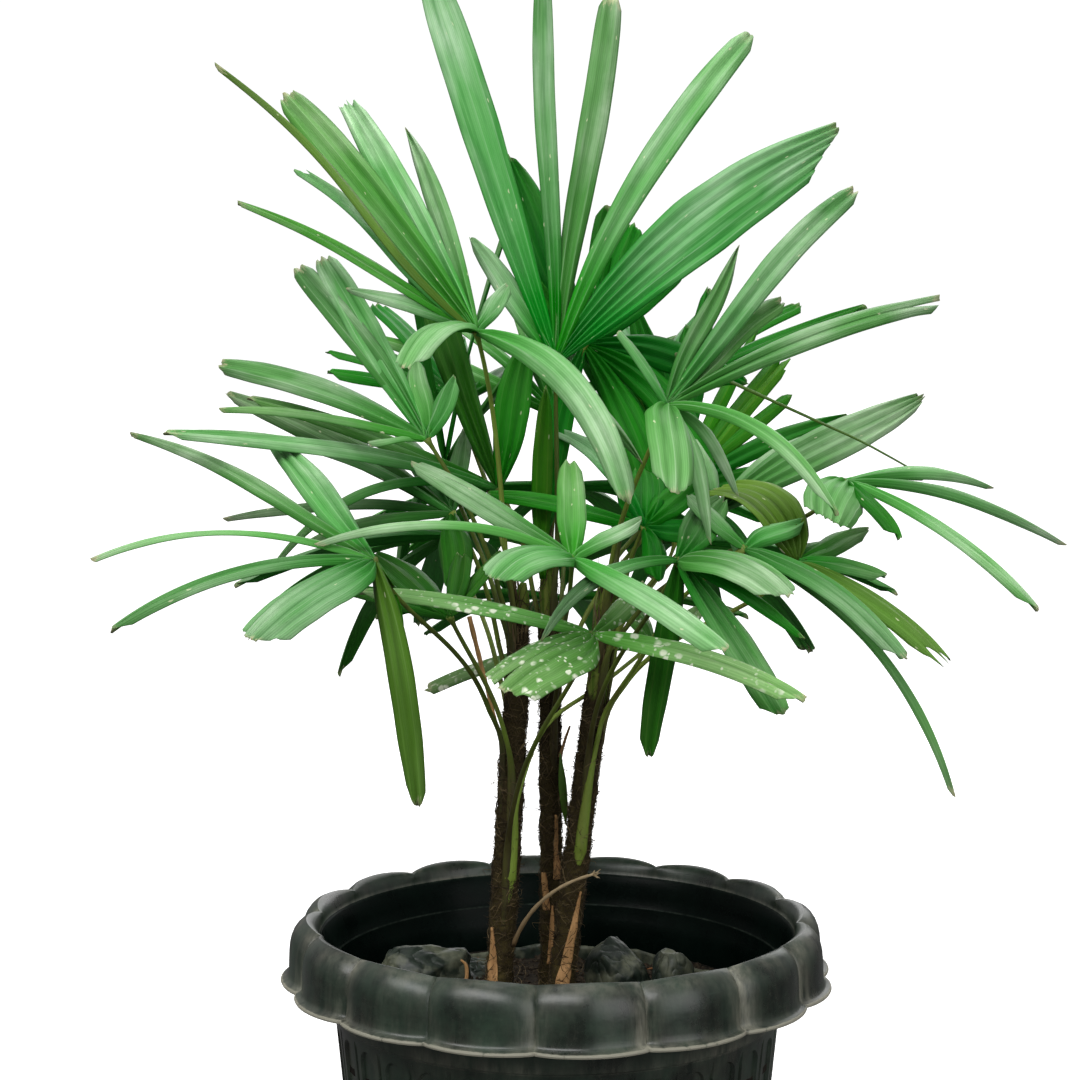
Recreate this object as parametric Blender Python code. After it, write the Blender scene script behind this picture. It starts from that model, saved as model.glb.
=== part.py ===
# Lady palm in a scalloped plastic pot: three fibrous canes, fan-shaped fronds on slender
# petioles, dry stalks, potting soil and the crumpled film of the nursery bag.
# Metres, +Z up, the origin on the floor at the middle of the pot. The plant faces -Y.

import math

import bmesh
import bpy
from mathutils import Matrix, Vector, noise
from mathutils.bvhtree import BVHTree

MM = 0.001
UP = Vector((0, 0, 1))
GAP = 0.0003  # clearance between solids that touch
EYE = Vector((-0.012, -1.5, 0.689))  # the viewer for whom the leaflets point as listed below

# Pot
POT_HEIGHT = 0.300
LOBES = 16
LOBE_STEPS = 4  # facets in each lobe of the rim
LOBE_TURN = math.radians(-4.8)  # a groove between two lobes lies this far from the front
LOBE_DEPTH = 0.0065  # how far the grooves cut into the skirt
FLANGE_RADIUS = 0.190
SKIRT_RADIUS = 0.184
CREST_RADIUS = 0.175
MOUTH_RADIUS = 0.1625
SKIRT_DROP = 0.043  # from the crest down to the flange
FLANGE_THICKNESS = 0.0042
BODY_RADIUS = 0.1555  # just under the skirt
BASE_RADIUS = 0.130
WALL = 0.0042
FLOOR = 0.006
LEDGE_HEIGHT = 0.261  # of the step inside, where the wall widens towards the mouth

# Soil and the film folds that lie on it
SOIL_LEVEL = 0.234
SOIL_SIDES = LOBES * LOBE_STEPS // 2
FILM_FOLDS = {  # x, y, length, depth, height, turn in degrees
    "film_fold_left": (-0.094, 0.030, 0.064, 0.044, 0.026, 8),
    "film_fold_right": (0.049, 0.034, 0.038, 0.036, 0.034, -10),
    "film_fold_far_right": (0.086, 0.026, 0.030, 0.030, 0.024, 25),
    "film_fold_low": (-0.060, 0.078, 0.040, 0.030, 0.014, -25),
}

# Canes
CANE_SIDES = 12
CANE_RUNS = (0, 0.05, 0.12, 0.32, 0.54, 0.78, 1)  # shares of the height where a ring lies
CANES = {  # foot x, y and top x, y, z, with the radius at half height
    "left": ((-0.041, -0.012), (-0.023, -0.014, 0.530), 0.0088),
    "middle": ((-0.003, 0.026), (-0.006, 0.022, 0.555), 0.0075),
    "right": ((0.001, -0.006), (0.036, -0.008, 0.535), 0.0086),
}
CANE_FLARE = 1.28  # at the foot, as a share of the radius
CANE_TAPER = 0.74  # at the top

# Dry stalks: cane, height of the foot and its side of the cane (degrees to the right of the
# front), then the bend and the tip in millimetres
DRY_STALKS = {
    "dry_stalk_low": ("left", 0.281, 55, (-16, -44, 328), (27, -46, 338)),
    "dry_stalk_high": ("left", 0.420, -60, (-48, -27, 462), (-59, -31, 509)),
}
STALK_RADIUS = 0.0015
STALK_SIDES = 6
STALK_STEPS = 6

# Fronds
PETIOLE_RADIUS = 0.0022
PETIOLE_SIDES = 5
PETIOLE_STEPS = 8
HUB_RADIUS = 0.0055
PLEAT = 0.0085  # width of one fold of a leaflet
ROOT_WIDTH = 0.0045
SLIMNESS = 100  # a leaflet is this many times longer than thick
THINNEST = 0.0016
UNEVEN = 0.12  # neighbouring leaflets differ in thickness, so no two of their faces coincide
OUTLINE = ((0.0, 0.0), (0.22, 0.62), (0.52, 1.0), (0.80, 0.92), (1.0, 0.45))  # run, share of width
ARCH_UPRIGHT = 0.02  # bulge of an upright leaflet, as a share of its length
ARCH_HANGING = 0.16
MOST_LEAN = math.radians(62)
LEAN_TRIES = (0, 4, -4, 8, -8, 12, -12, 16, -16, 20, -20, 25, -25, 30, -30, 36, -36)
FOOT_TRIES = (0, 18, -18, 36, -36, 54, -54, 75, -75, 100, -100, 130, -130, 160, -160)
FOOT_SHIFTS = (0.0, 0.014, -0.014, 0.028, -0.028)


def facing(degrees_right, degrees_up):
    """Unit vector, from degrees to the right of the front and degrees above level."""
    right = math.radians(degrees_right)
    above = math.radians(degrees_up)
    level = math.cos(above)
    return Vector((math.sin(right) * level, -math.cos(right) * level, math.sin(above)))


def leaf(clock, reach, pleats, lean=None, roll=0, arch=None):
    """A leaflet as seen from the front: clock is its direction in degrees from straight up,
    reach the length seen in millimetres, pleats its folds. Its angle towards the front, lean,
    and its bulge, arch, are worked out where they aren't given."""
    return {"clock": clock, "reach": reach, "pleats": pleats, "lean": lean, "roll": roll, "arch": arch}


def fan(middle, spread, count, length):
    """Leaflets at even angles in the blade's own plane; middle is 0 where they point outward."""
    leaflets = []
    for i in range(count):
        off_middle = 2 * i / (count - 1) - 1
        leaflets.append({
            "turn": middle + off_middle * spread / 2, "reach": length * (1 - 0.16 * abs(off_middle)),
            "pleats": 2, "roll": 0, "arch": None})
    return leaflets


def frond(cane, foot, hub, face, longest, leaflets):
    """Lengths in millimetres: foot is the petiole's height on its cane, hub the point that the
    leaflets spread from, longest its longest leaflet. face is the way the blade looks, in
    degrees to the right of the front and degrees above level."""
    return {"cane": cane, "foot": foot * MM, "hub": Vector(hub) * MM, "face": facing(*face),
            "longest": longest, "leaflets": leaflets}


FRONDS = {
    "crown": frond("middle", 505, (-1, 0, 679), (0, 22), 290, [
        leaf(-18, 280, 3, arch=0), leaf(-2, 275, 2, arch=0), leaf(9, 265, 3, arch=0.01),
        leaf(31, 270, 2.5, arch=0.07), leaf(52, 255, 6, arch=0.05), leaf(-35, 105, 2)]),
    "upper_left": frond("left", 500, (-53, -70, 699), (-30, 45), 270, [
        leaf(-40, 220, 3), leaf(-31, 200, 3), leaf(-21, 160, 2, arch=0.08), leaf(-45, 255, 1.5, roll=40),
        leaf(-49, 185, 2, roll=30), leaf(-62, 200, 1.5, roll=20), leaf(-72, 110, 2),
        leaf(-120, 50, 3, lean=55, arch=0.32), leaf(35, 38, 2, lean=-50),
        leaf(139, 142, 3, lean=32, arch=0.14), leaf(129, 135, 2, lean=16)]),
    "left": frond("left", 480, (-86, -50, 629), (-25, 40), 240, [
        leaf(-40, 155, 2.5), leaf(-34, 150, 2.5), leaf(-72, 160, 2), leaf(-84, 150, 1.5, roll=30),
        leaf(-97, 40, 1, roll=30), leaf(-12, 55, 2), leaf(26, 45, 2)]),
    "left_dark": frond("left", 445, (-72, 10, 576), (-40, 50), 230, [
        leaf(-65, 190, 2.5), leaf(-95, 175, 1.5), leaf(-104, 110, 1.5), leaf(178, 50, 3, lean=45),
        leaf(7, 55, 2), leaf(-42, 70, 2)]),
    "lower_left": frond("left", 405, (-114, -150, 559), (-20, 60), 270, [
        leaf(-121, 78, 5, lean=45), leaf(-105, 165, 1.7, arch=0.1), leaf(-92, 185, 1, roll=25, arch=0.1),
        leaf(-69, 195, 1.7, arch=0.05), leaf(-50, 108, 2.7, arch=0.03),
        leaf(169, 150, 2.7, lean=15, arch=0.08), leaf(173, 70, 2, lean=-20)]),
    "upright_left": frond("middle", 480, (-41, 34, 591), (0, 30), 260, [
        leaf(-23, 165, 3, arch=0), leaf(11, 105, 3), leaf(-71, 190, 2, roll=25), leaf(-81, 240, 2, roll=25),
        leaf(-110, 165, 1.2, roll=20, arch=0.2)]),
    "upper_right": frond("right", 500, (69, -100, 653), (20, 40), 270, [
        leaf(-33, 55, 1), leaf(28, 118, 2), leaf(44, 205, 2.2, arch=0.04), leaf(71, 210, 2, arch=0.045),
        leaf(124, 122, 1.7, lean=25, arch=0.18), leaf(-178, 52, 4, lean=60, arch=0.25),
        leaf(143, 75, 1.5, lean=-8), leaf(164, 90, 1.5, lean=20), leaf(51, 108, 2, lean=-45)]),
    "centre": frond("right", 440, (58, -30, 569), (0, 55), 240, [
        leaf(-79, 110, 2), leaf(-48, 92, 2, arch=0.2), leaf(-3, 36, 4), leaf(55, 50, 3),
        leaf(97, 45, 3), leaf(165, 35, 2, lean=45)]),
    "front": frond("middle", 420, (8, -160, 561), (0, 65), 250, [
        leaf(-100, 48, 4, lean=52, arch=0.25), leaf(117, 98, 3), leaf(-88, 158, 1.3, arch=0.12),
        leaf(-64, 118, 3), leaf(0, 54, 2.5), leaf(66, 50, 2)]),
    "front_low": frond("left", 330, (21, -150, 513), (0, 62), 240, [
        leaf(-112, 62, 4.5, lean=50), leaf(-82, 150, 2), leaf(105, 128, 2.5), leaf(54, 45, 2)]),
    "low_dark": frond("left", 385, (-70, -80, 515), (-50, 60), 230, [
        leaf(-64, 68, 3), leaf(-86, 82, 2), leaf(42, 50, 2), leaf(10, 36, 2)]),
    "front_right": frond("right", 395, (74, -140, 558), (10, 60), 240, [
        leaf(105, 63, 4, lean=48, arch=0.2), leaf(-120, 97, 1.5, lean=15, arch=0.2),
        leaf(121, 82, 1.5), leaf(146, 114, 3, lean=12), leaf(-173, 130, 2, lean=-8), leaf(44, 48, 3)]),
    "low_right": frond("left", 290, (66, 28, 482), (0, 60), 240, [
        leaf(-103, 165, 2, lean=-14), leaf(-35, 42, 2), leaf(59, 45, 2)]),
    "right": frond("right", 420, (153, -90, 552), (30, 55), 240, [
        leaf(-50, 66, 4.5, arch=0.3), leaf(101, 62, 2), leaf(126, 114, 2.7), leaf(73, 34, 2),
        leaf(75, 58, 2)]),
    "right_long": frond("right", 375, (117, -120, 563), (30, 55), 270, [
        leaf(124, 114, 2.7), leaf(140, 205, 1.3, lean=2, arch=0.12), leaf(-49, 48, 2), leaf(71, 44, 2)]),
    "far_right": frond("right", 465, (189, -60, 602), (40, 55), 250, [
        leaf(-140, 30, 5, lean=62, arch=0.2), leaf(107, 160, 1.3, roll=20, arch=0.08),
        leaf(96, 110, 1.3, roll=20, arch=0.1), leaf(125, 140, 1.8, arch=0.08), leaf(142, 45, 2),
        leaf(91, 60, 1)]),
    "right_wide": frond("right", 455, (103, -50, 581), (30, 40), 240, [
        leaf(66, 180, 3.5, arch=0.02), leaf(58, 88, 2), leaf(-17, 52, 3), leaf(153, 62, 2, lean=20)]),
    "right_back": frond("middle", 450, (87, 60, 587), (20, 30), 240, [
        leaf(29, 140, 1.3), leaf(40, 125, 1.3), leaf(44, 136, 1.3), leaf(53, 110, 1.3),
        leaf(68, 140, 1.8), leaf(-14, 82, 3)]),
    "crown_back": frond("middle", 525, (20, 80, 690), (0, 20), 250, [
        leaf(-22, 150, 3), leaf(11, 103, 2), leaf(23, 96, 3), leaf(52, 98, 3), leaf(-40, 80, 2)]),
    "side_left": frond("left", 470, (-80, 85, 605), (-95, 30), 250, fan(-125, 150, 6, 200)),
    "side_right": frond("right", 470, (95, 95, 600), (95, 30), 250, fan(125, 150, 6, 200)),
    "back_high": frond("middle", 540, (0, 120, 640), (0, 62), 250, fan(180, 100, 6, 225)),
    "back_left_high": frond("left", 515, (-70, 115, 650), (35, 68), 250, fan(180, 110, 6, 205)),
    "back_right_high": frond("right", 520, (70, 125, 650), (-30, 68), 250, fan(180, 110, 6, 205)),
    "back_left": frond("left", 425, (-75, 140, 550), (205, 62), 250, fan(0, 120, 6, 205)),
    "back": frond("middle", 430, (10, 165, 585), (180, 62), 250, fan(0, 130, 7, 215)),
    "back_right": frond("right", 430, (90, 150, 545), (150, 62), 250, fan(0, 120, 6, 205)),
    "back_low": frond("middle", 390, (5, 120, 505), (180, 70), 250, fan(0, 130, 6, 190)),
}


def square_to(vector, axis):
    """The part of vector at right angles to axis, as a unit vector."""
    return (vector - vector.dot(axis) * axis).normalized()


def new_object(name, points, faces, colour, roughness, smooth=False):
    mesh = bpy.data.meshes.new(name)
    mesh.from_pydata([tuple(p) for p in points], [], faces)
    if smooth:
        mesh.shade_smooth()
        mesh.set_sharp_from_angle(angle=math.radians(40))
    piece = bpy.data.objects.new(name, mesh)
    bpy.context.scene.collection.objects.link(piece)
    paint(piece, colour, roughness)
    return piece


def paint(piece, colour, roughness):
    material = bpy.data.materials.new(piece.name)
    material.use_nodes = True
    shader = material.node_tree.nodes["Principled BSDF"]
    shader.inputs["Base Color"].default_value = (*colour, 1)
    shader.inputs["Roughness"].default_value = roughness
    shader.inputs["Metallic"].default_value = 0
    piece.data.materials.clear()
    piece.data.materials.append(material)


def rings_to_faces(rings, sides):
    """Quads between rings of points, and a cap at each end."""
    faces = []
    for ring in range(rings - 1):
        for side in range(sides):
            a = ring * sides + side
            b = ring * sides + (side + 1) % sides
            faces.append((a, b, b + sides, a + sides))
    faces.append(tuple(reversed(range(sides))))
    faces.append(tuple(range((rings - 1) * sides, rings * sides)))
    return faces


def lobe(angle):
    """0 in the grooves of the rim and 1 on the lobes between them."""
    return abs(math.sin(LOBES * (angle - LOBE_TURN) / 2)) ** 0.7


def wall_radius(height):
    """Inner radius of the pot's wall, up to the ledge."""
    return BASE_RADIUS + (BODY_RADIUS - BASE_RADIUS) * height / (POT_HEIGHT - SKIRT_DROP) - WALL


def pot_profile():
    """Radius, height and share of the lobes' swelling, from the underside round to the floor."""
    lip = POT_HEIGHT - SKIRT_DROP
    return [
        (BASE_RADIUS, 0.0, 0),
        (BODY_RADIUS, lip, 0),
        (BODY_RADIUS + 0.0075, lip + 0.009, 0),
        (MOUTH_RADIUS + WALL, POT_HEIGHT - 0.013, 0),
        (CREST_RADIUS - 0.001, POT_HEIGHT - 0.008, 0.5),
        (SKIRT_RADIUS - WALL, POT_HEIGHT - 0.014, 1),
        (SKIRT_RADIUS - WALL, lip, 1),
        (FLANGE_RADIUS, lip, 1),
        (FLANGE_RADIUS, lip + FLANGE_THICKNESS, 1),
        (SKIRT_RADIUS + 0.001, lip + FLANGE_THICKNESS + 0.002, 1),
        (SKIRT_RADIUS, POT_HEIGHT - 0.010, 1),
        (SKIRT_RADIUS - 0.004, POT_HEIGHT - 0.003, 0.9),
        (CREST_RADIUS, POT_HEIGHT, 0.6),
        (CREST_RADIUS - 0.008, POT_HEIGHT - 0.002, 0.3),
        (MOUTH_RADIUS, POT_HEIGHT - 0.009, 0),
        (MOUTH_RADIUS - 0.004, LEDGE_HEIGHT + 0.008, 0),
        (wall_radius(LEDGE_HEIGHT), LEDGE_HEIGHT, 0),
        (wall_radius(FLOOR), FLOOR, 0),
    ]


def build_pot():
    sides = LOBES * LOBE_STEPS
    points = []
    for radius, height, share in pot_profile():
        for side in range(sides):
            angle = 2 * math.pi * side / sides + LOBE_TURN
            swollen = radius - share * LOBE_DEPTH * (1 - lobe(angle))
            points.append((swollen * math.sin(angle), -swollen * math.cos(angle), height))
    faces = rings_to_faces(len(pot_profile()), sides)
    turn_outward(new_object("pot", points, faces, (0.035, 0.042, 0.038), 0.45))


def turn_outward(piece):
    shape = bmesh.new()
    shape.from_mesh(piece.data)
    bmesh.ops.recalc_face_normals(shape, faces=shape.faces)
    shape.to_mesh(piece.data)
    shape.free()


def build_soil():
    """Fills the pot up to a level top."""
    points = []
    for height in (FLOOR + GAP, SOIL_LEVEL):
        for side in range(SOIL_SIDES):
            angle = 2 * math.pi * side / SOIL_SIDES + LOBE_TURN
            radius = wall_radius(height) - GAP
            points.append((radius * math.sin(angle), -radius * math.cos(angle), height))
    turn_outward(new_object("soil", points, rings_to_faces(2, SOIL_SIDES), (0.028, 0.022, 0.017), 0.95))


def build_film_fold(name, x, y, length, depth, height, turn):
    """A crumpled lump of black film with a flat foot, resting on the soil."""
    shape = bmesh.new()
    bmesh.ops.create_icosphere(shape, subdivisions=2, radius=0.5)
    seed = Vector((x, y, 0)) * 90
    for point in shape.verts:
        point.co *= 1 + 0.34 * noise.noise(point.co * 3.1 + seed)
    everything = shape.verts[:] + shape.edges[:] + shape.faces[:]
    bmesh.ops.bisect_plane(
        shape, geom=everything, plane_co=(0, 0, -0.18), plane_no=(0, 0, -1), clear_outer=True)
    bmesh.ops.holes_fill(shape, edges=[e for e in shape.edges if e.is_boundary])
    lowest = min(point.co.z for point in shape.verts)
    tallest = max(point.co.z for point in shape.verts)
    for point in shape.verts:
        share = (point.co.z - lowest) / (tallest - lowest)
        point.co = (point.co.x * length, point.co.y * depth, share * height)
    place = Matrix.Translation((x, y, SOIL_LEVEL + GAP)) @ Matrix.Rotation(math.radians(turn), 4, "Z")
    bmesh.ops.transform(shape, matrix=place, verts=shape.verts)
    points = [v.co.copy() for v in shape.verts]
    faces = [tuple(v.index for v in f.verts) for f in shape.faces]
    shape.free()
    turn_outward(new_object(name, points, faces, (0.05, 0.06, 0.055), 0.35))


def cane_point(cane, height):
    """Centre and radius of a cane at a height."""
    foot, top, radius = CANES[cane]
    start = SOIL_LEVEL + GAP
    run = (height - start) / (top[2] - start)
    centre = Vector((foot[0] + (top[0] - foot[0]) * run, foot[1] + (top[1] - foot[1]) * run, height))
    flare = 1 + (CANE_FLARE - 1) * max(0.0, 1 - run / 0.12) ** 2
    taper = 1 - (1 - CANE_TAPER) * max(0.0, (run - 0.5) / 0.5)
    return centre, radius * flare * taper


def build_cane(cane):
    start = SOIL_LEVEL + GAP
    height = CANES[cane][1][2] - start
    points = []
    for run in CANE_RUNS:
        centre, radius = cane_point(cane, start + run * height)
        for side in range(CANE_SIDES):
            angle = 2 * math.pi * side / CANE_SIDES
            points.append(centre + radius * Vector((math.cos(angle), math.sin(angle), 0)))
    faces = rings_to_faces(len(CANE_RUNS), CANE_SIDES)
    new_object("cane_" + cane, points, faces, (0.12, 0.085, 0.05), 0.9, smooth=True)
    return points, faces


def tube(path, radius, sides):
    """Points and faces of a round bar along a path, with flat ends."""
    points = []
    across = square_to(Vector((0.31, 0.83, 0.11)), (path[1] - path[0]).normalized())
    for i, centre in enumerate(path):
        along = (path[min(i + 1, len(path) - 1)] - path[max(i - 1, 0)]).normalized()
        across = square_to(across, along)
        beside = along.cross(across)
        for side in range(sides):
            angle = 2 * math.pi * side / sides
            points.append(centre + radius * (math.cos(angle) * across + math.sin(angle) * beside))
    return points, rings_to_faces(len(path), sides)


def bezier(a, b, c, d, steps):
    curve = []
    for i in range(steps + 1):
        t = i / steps
        u = 1 - t
        curve.append(u**3 * a + 3 * u * u * t * b + 3 * u * t * t * c + t**3 * d)
    return curve


def build_dry_stalk(name, cane, height, side, bend, tip):
    centre, radius = cane_point(cane, height)
    foot = centre + (radius + STALK_RADIUS + GAP) * facing(side, 0)
    bend = Vector(bend) * MM
    tip = Vector(tip) * MM
    path = bezier(foot, foot.lerp(bend, 0.66), tip.lerp(bend, 0.66), tip, STALK_STEPS)
    points, faces = tube(path, STALK_RADIUS, STALK_SIDES)
    new_object(name, points, faces, (0.42, 0.28, 0.15), 0.8)
    return points, faces


def petiole_path(frond, swing, shift):
    """From the side of the cane, up along it, and out to the hub. swing turns the foot round the
    cane by degrees and shift moves it up."""
    hub = frond["hub"]
    centre, radius = cane_point(frond["cane"], frond["foot"] + shift)
    outward = square_to(hub - centre, UP)
    outward.rotate(Matrix.Rotation(math.radians(swing), 3, "Z"))
    start = centre + (radius + PETIOLE_RADIUS + GAP) * outward
    far = (hub - start).length
    away = square_to(hub - start, UP)
    rising = start + far * (0.42 * UP + 0.04 * outward)
    arriving = hub - far * (0.165 * away + 0.24 * UP)
    return bezier(start, rising, arriving, hub, PETIOLE_STEPS)


def leaflet_chord(leaflet, frond, extra_lean):
    """From the hub to the leaflet's tip. The extra lean keeps the tip on the viewer's line of
    sight, or turns a leaflet of a fan out of the blade's plane."""
    normal = frond["face"]
    reach = leaflet["reach"] * MM
    if "turn" in leaflet:
        outward = square_to(Vector((normal.x, normal.y, 0)), normal)
        along = Matrix.Rotation(math.radians(leaflet["turn"]), 3, normal) @ outward
        along.rotate(Matrix.Rotation(math.radians(extra_lean), 3, normal.cross(along)))
        return reach * along
    clock = math.radians(leaflet["clock"])
    if leaflet["lean"] is None:
        lean = math.atan((normal.x * math.sin(clock) + normal.z * math.cos(clock)) / normal.y)
        most = min(MOST_LEAN, math.acos(min(1.0, leaflet["reach"] / frond["longest"])))
        lean = max(-most, min(most, lean))
    else:
        lean = math.radians(leaflet["lean"])
    chord = reach * Vector((math.sin(clock), -math.tan(lean), math.cos(clock)))
    leaned = max(-MOST_LEAN, min(MOST_LEAN, lean + math.radians(extra_lean)))
    sight = frond["hub"] + chord - EYE
    return chord + sight * reach * (math.tan(lean) - math.tan(leaned)) / sight.y


def leaflet_frames(leaflet, frond, chord):
    """Stations along the leaflet: centre, the way across, the way its face looks, and width."""
    normal = frond["face"]
    along = chord.normalized()
    hang = (1 - along.z) / 2
    arch = leaflet["arch"]
    if arch is None:
        arch = ARCH_UPRIGHT + (ARCH_HANGING - ARCH_UPRIGHT) * hang**2
    bulge = square_to(UP + 0.25 * normal, along) * arch * leaflet["reach"] * MM
    frames = []
    for run, share in OUTLINE:
        centre = frond["hub"] + run * chord + 4 * run * (1 - run) * bulge
        tangent = (chord + 4 * (1 - 2 * run) * bulge).normalized()
        look = square_to(normal, tangent)
        look.rotate(Matrix.Rotation(math.radians(leaflet["roll"]), 3, tangent))
        width = ROOT_WIDTH + (leaflet["pleats"] * PLEAT - ROOT_WIDTH) * share
        frames.append((centre, tangent.cross(look), look, width))
    return frames


def leaflet_solid(frames, thickness, spare=0.0):
    """A thin blade with a low ridge along the middle of both faces."""
    thickness = thickness + 2 * spare
    points = []
    for centre, across, look, width in frames:
        half = width / 2 + spare
        points += [centre - half * across, centre - thickness / 2 * look,
                   centre + half * across, centre + thickness / 2 * look]
    return points, rings_to_faces(len(frames), 4)


def tree_of(points, faces):
    return BVHTree.FromPolygons([tuple(p) for p in points], faces)


def box_of(points):
    return [(min(p[i] for p in points), max(p[i] for p in points)) for i in range(3)]


def boxes_meet(one, other):
    return all(a[0] <= b[1] and b[0] <= a[1] for a, b in zip(one, other))


class Space:
    """What has been placed so far, so that a new piece can be set clear of it."""

    def __init__(self):
        self.taken = []

    def is_free(self, owner, points, faces):
        box = box_of(points)
        tree = None
        for other_owner, other_box, other_tree in self.taken:
            if other_owner == owner or not boxes_meet(box, other_box):
                continue
            tree = tree or tree_of(points, faces)
            if tree.overlap(other_tree):
                return False
        return True

    def take(self, owner, points, faces):
        self.taken.append((owner, box_of(points), tree_of(points, faces)))


def fuse(name, solids, colour, roughness):
    """One closed body from overlapping solids."""
    pieces = []
    for points, faces in solids:
        pieces.append(new_object(name, points, faces, colour, roughness))
        turn_outward(pieces[-1])
    group = bpy.data.collections.new(name + "_pieces")
    for piece in pieces[1:]:
        group.objects.link(piece)
    union = pieces[0].modifiers.new("union", "BOOLEAN")
    union.operation = "UNION"
    union.operand_type = "COLLECTION"
    union.collection = group
    union.solver = "MANIFOLD"
    graph = bpy.context.evaluated_depsgraph_get()
    mesh = bpy.data.meshes.new_from_object(pieces[0].evaluated_get(graph))
    for piece in pieces:
        bpy.data.objects.remove(piece)
    bpy.data.collections.remove(group)
    drop_scraps(mesh)
    body = bpy.data.objects.new(name, mesh)
    bpy.context.scene.collection.objects.link(body)
    paint(body, colour, roughness)


def drop_scraps(mesh):
    """Keeps the body that the first point belongs to, the petiole's, and drops loose slivers."""
    shape = bmesh.new()
    shape.from_mesh(mesh)
    shape.verts.ensure_lookup_table()
    body = {shape.verts[0]}
    unread = [shape.verts[0]]
    while unread:
        for edge in unread.pop().link_edges:
            for point in edge.verts:
                if point not in body:
                    body.add(point)
                    unread.append(point)
    bmesh.ops.delete(shape, geom=[v for v in shape.verts if v not in body], context="VERTS")
    shape.to_mesh(mesh)
    shape.free()


def hub_solid(hub):
    shape = bmesh.new()
    bmesh.ops.create_icosphere(shape, subdivisions=1, radius=HUB_RADIUS)
    points = [hub + v.co for v in shape.verts]
    faces = [tuple(v.index for v in f.verts) for f in shape.faces]
    shape.free()
    return points, faces


def place_petiole(space, name, frond):
    """A path for the frond's petiole, clear of the canes, the stalks and the other petioles."""
    for shift in FOOT_SHIFTS:
        for swing in FOOT_TRIES:
            path = petiole_path(frond, swing, shift)
            if space.is_free(name, *tube(path, PETIOLE_RADIUS + 0.6 * GAP, PETIOLE_SIDES)):
                space.take(name, *tube(path, PETIOLE_RADIUS, PETIOLE_SIDES))
                space.take(name, *hub_solid(frond["hub"]))
                return path
    raise ValueError("no free way for the petiole of " + name)


def place_leaflets(space, name, frond):
    """The solids of the frond's leaflets. One that would touch another frond leans aside, and
    one that still touches is left out."""
    solids = []
    for number, leaflet in enumerate(frond["leaflets"]):
        for extra_lean in LEAN_TRIES:
            chord = leaflet_chord(leaflet, frond, extra_lean)
            thickness = max(THINNEST, chord.length / SLIMNESS) * (1 + UNEVEN * (number % 3))
            frames = leaflet_frames(leaflet, frond, chord)
            if space.is_free(name, *leaflet_solid(frames, thickness, 1.5 * GAP)):
                solids.append(leaflet_solid(frames, thickness))
                space.take(name, *solids[-1])
                break
        else:
            print(f"leaflet {number} of {name} has no room")
    return solids


def build_fronds(space):
    """All petioles find their places before the leaflets do."""
    petioles = {}
    for name, frond in FRONDS.items():
        petioles[name] = tube(place_petiole(space, name, frond), PETIOLE_RADIUS, PETIOLE_SIDES)
    for name, frond in FRONDS.items():
        solids = [petioles[name], hub_solid(frond["hub"]), *place_leaflets(space, name, frond)]
        fuse("frond_" + name, solids, (0.05, 0.22, 0.06), 0.5)


def main():
    for old in list(bpy.data.objects):
        bpy.data.objects.remove(old)
    build_pot()
    build_soil()
    for name, sizes in FILM_FOLDS.items():
        build_film_fold(name, *sizes)
    space = Space()
    for cane in CANES:
        space.take(cane, *build_cane(cane))
    for name, sizes in DRY_STALKS.items():
        space.take(name, *build_dry_stalk(name, *sizes))
    build_fronds(space)


main()
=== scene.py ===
# A lady palm in its scalloped plastic pot: the looks around the CAD frame.
# Metres, +Z up, the plant faces -Y. The camera stands where the photograph was taken.
import math
import random

import bpy
import numpy as np
from mathutils import Matrix, Vector, noise
from mathutils.kdtree import KDTree


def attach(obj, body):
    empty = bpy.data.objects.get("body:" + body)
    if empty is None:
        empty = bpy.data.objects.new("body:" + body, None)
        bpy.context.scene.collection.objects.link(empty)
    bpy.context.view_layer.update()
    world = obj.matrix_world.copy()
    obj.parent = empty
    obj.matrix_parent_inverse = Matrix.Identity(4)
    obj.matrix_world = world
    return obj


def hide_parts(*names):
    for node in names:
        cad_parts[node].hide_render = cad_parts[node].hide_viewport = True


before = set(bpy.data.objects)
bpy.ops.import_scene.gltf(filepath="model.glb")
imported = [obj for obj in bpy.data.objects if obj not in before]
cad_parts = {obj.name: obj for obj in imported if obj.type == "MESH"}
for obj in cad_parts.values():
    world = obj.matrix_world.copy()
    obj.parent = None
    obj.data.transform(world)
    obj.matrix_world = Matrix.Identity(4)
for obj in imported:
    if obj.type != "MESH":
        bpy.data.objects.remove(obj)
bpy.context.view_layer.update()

mm = 0.001
up = Vector((0, 0, 1))
gap = 0.0003
eye = Vector((-0.012, -1.5, 0.689))  # the leaflets of the front fronds point as seen from here
soilLevel = 0.234


def deselectAll():
    if bpy.context.mode != "OBJECT":
        bpy.ops.object.mode_set(mode="OBJECT")
    bpy.ops.object.select_all(action="DESELECT")


def startEditing():
    bpy.ops.object.mode_set(mode="EDIT")
    bpy.ops.mesh.select_all(action="SELECT")


def faceOutward():
    startEditing()
    bpy.ops.mesh.normals_make_consistent(inside=False)
    bpy.ops.object.mode_set(mode="OBJECT")


def namePiece(name):
    piece = bpy.context.object
    piece.name = piece.data.name = name
    return piece


def paint(mesh, name, values):  # a value for each point, for the materials
    mesh.attributes.new(name, "FLOAT", "POINT").data.foreach_set("value", np.array(values, dtype=np.float32))


def unit(value):
    return min(1.0, max(0.0, value))


def flatWay(angle):
    return Vector((math.cos(angle), math.sin(angle), 0))


def anyAngle(rand):
    return rand.uniform(0, 2 * math.pi)


def squareTo(vector, axis):
    return (vector - vector.dot(axis) * axis).normalized()


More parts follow.
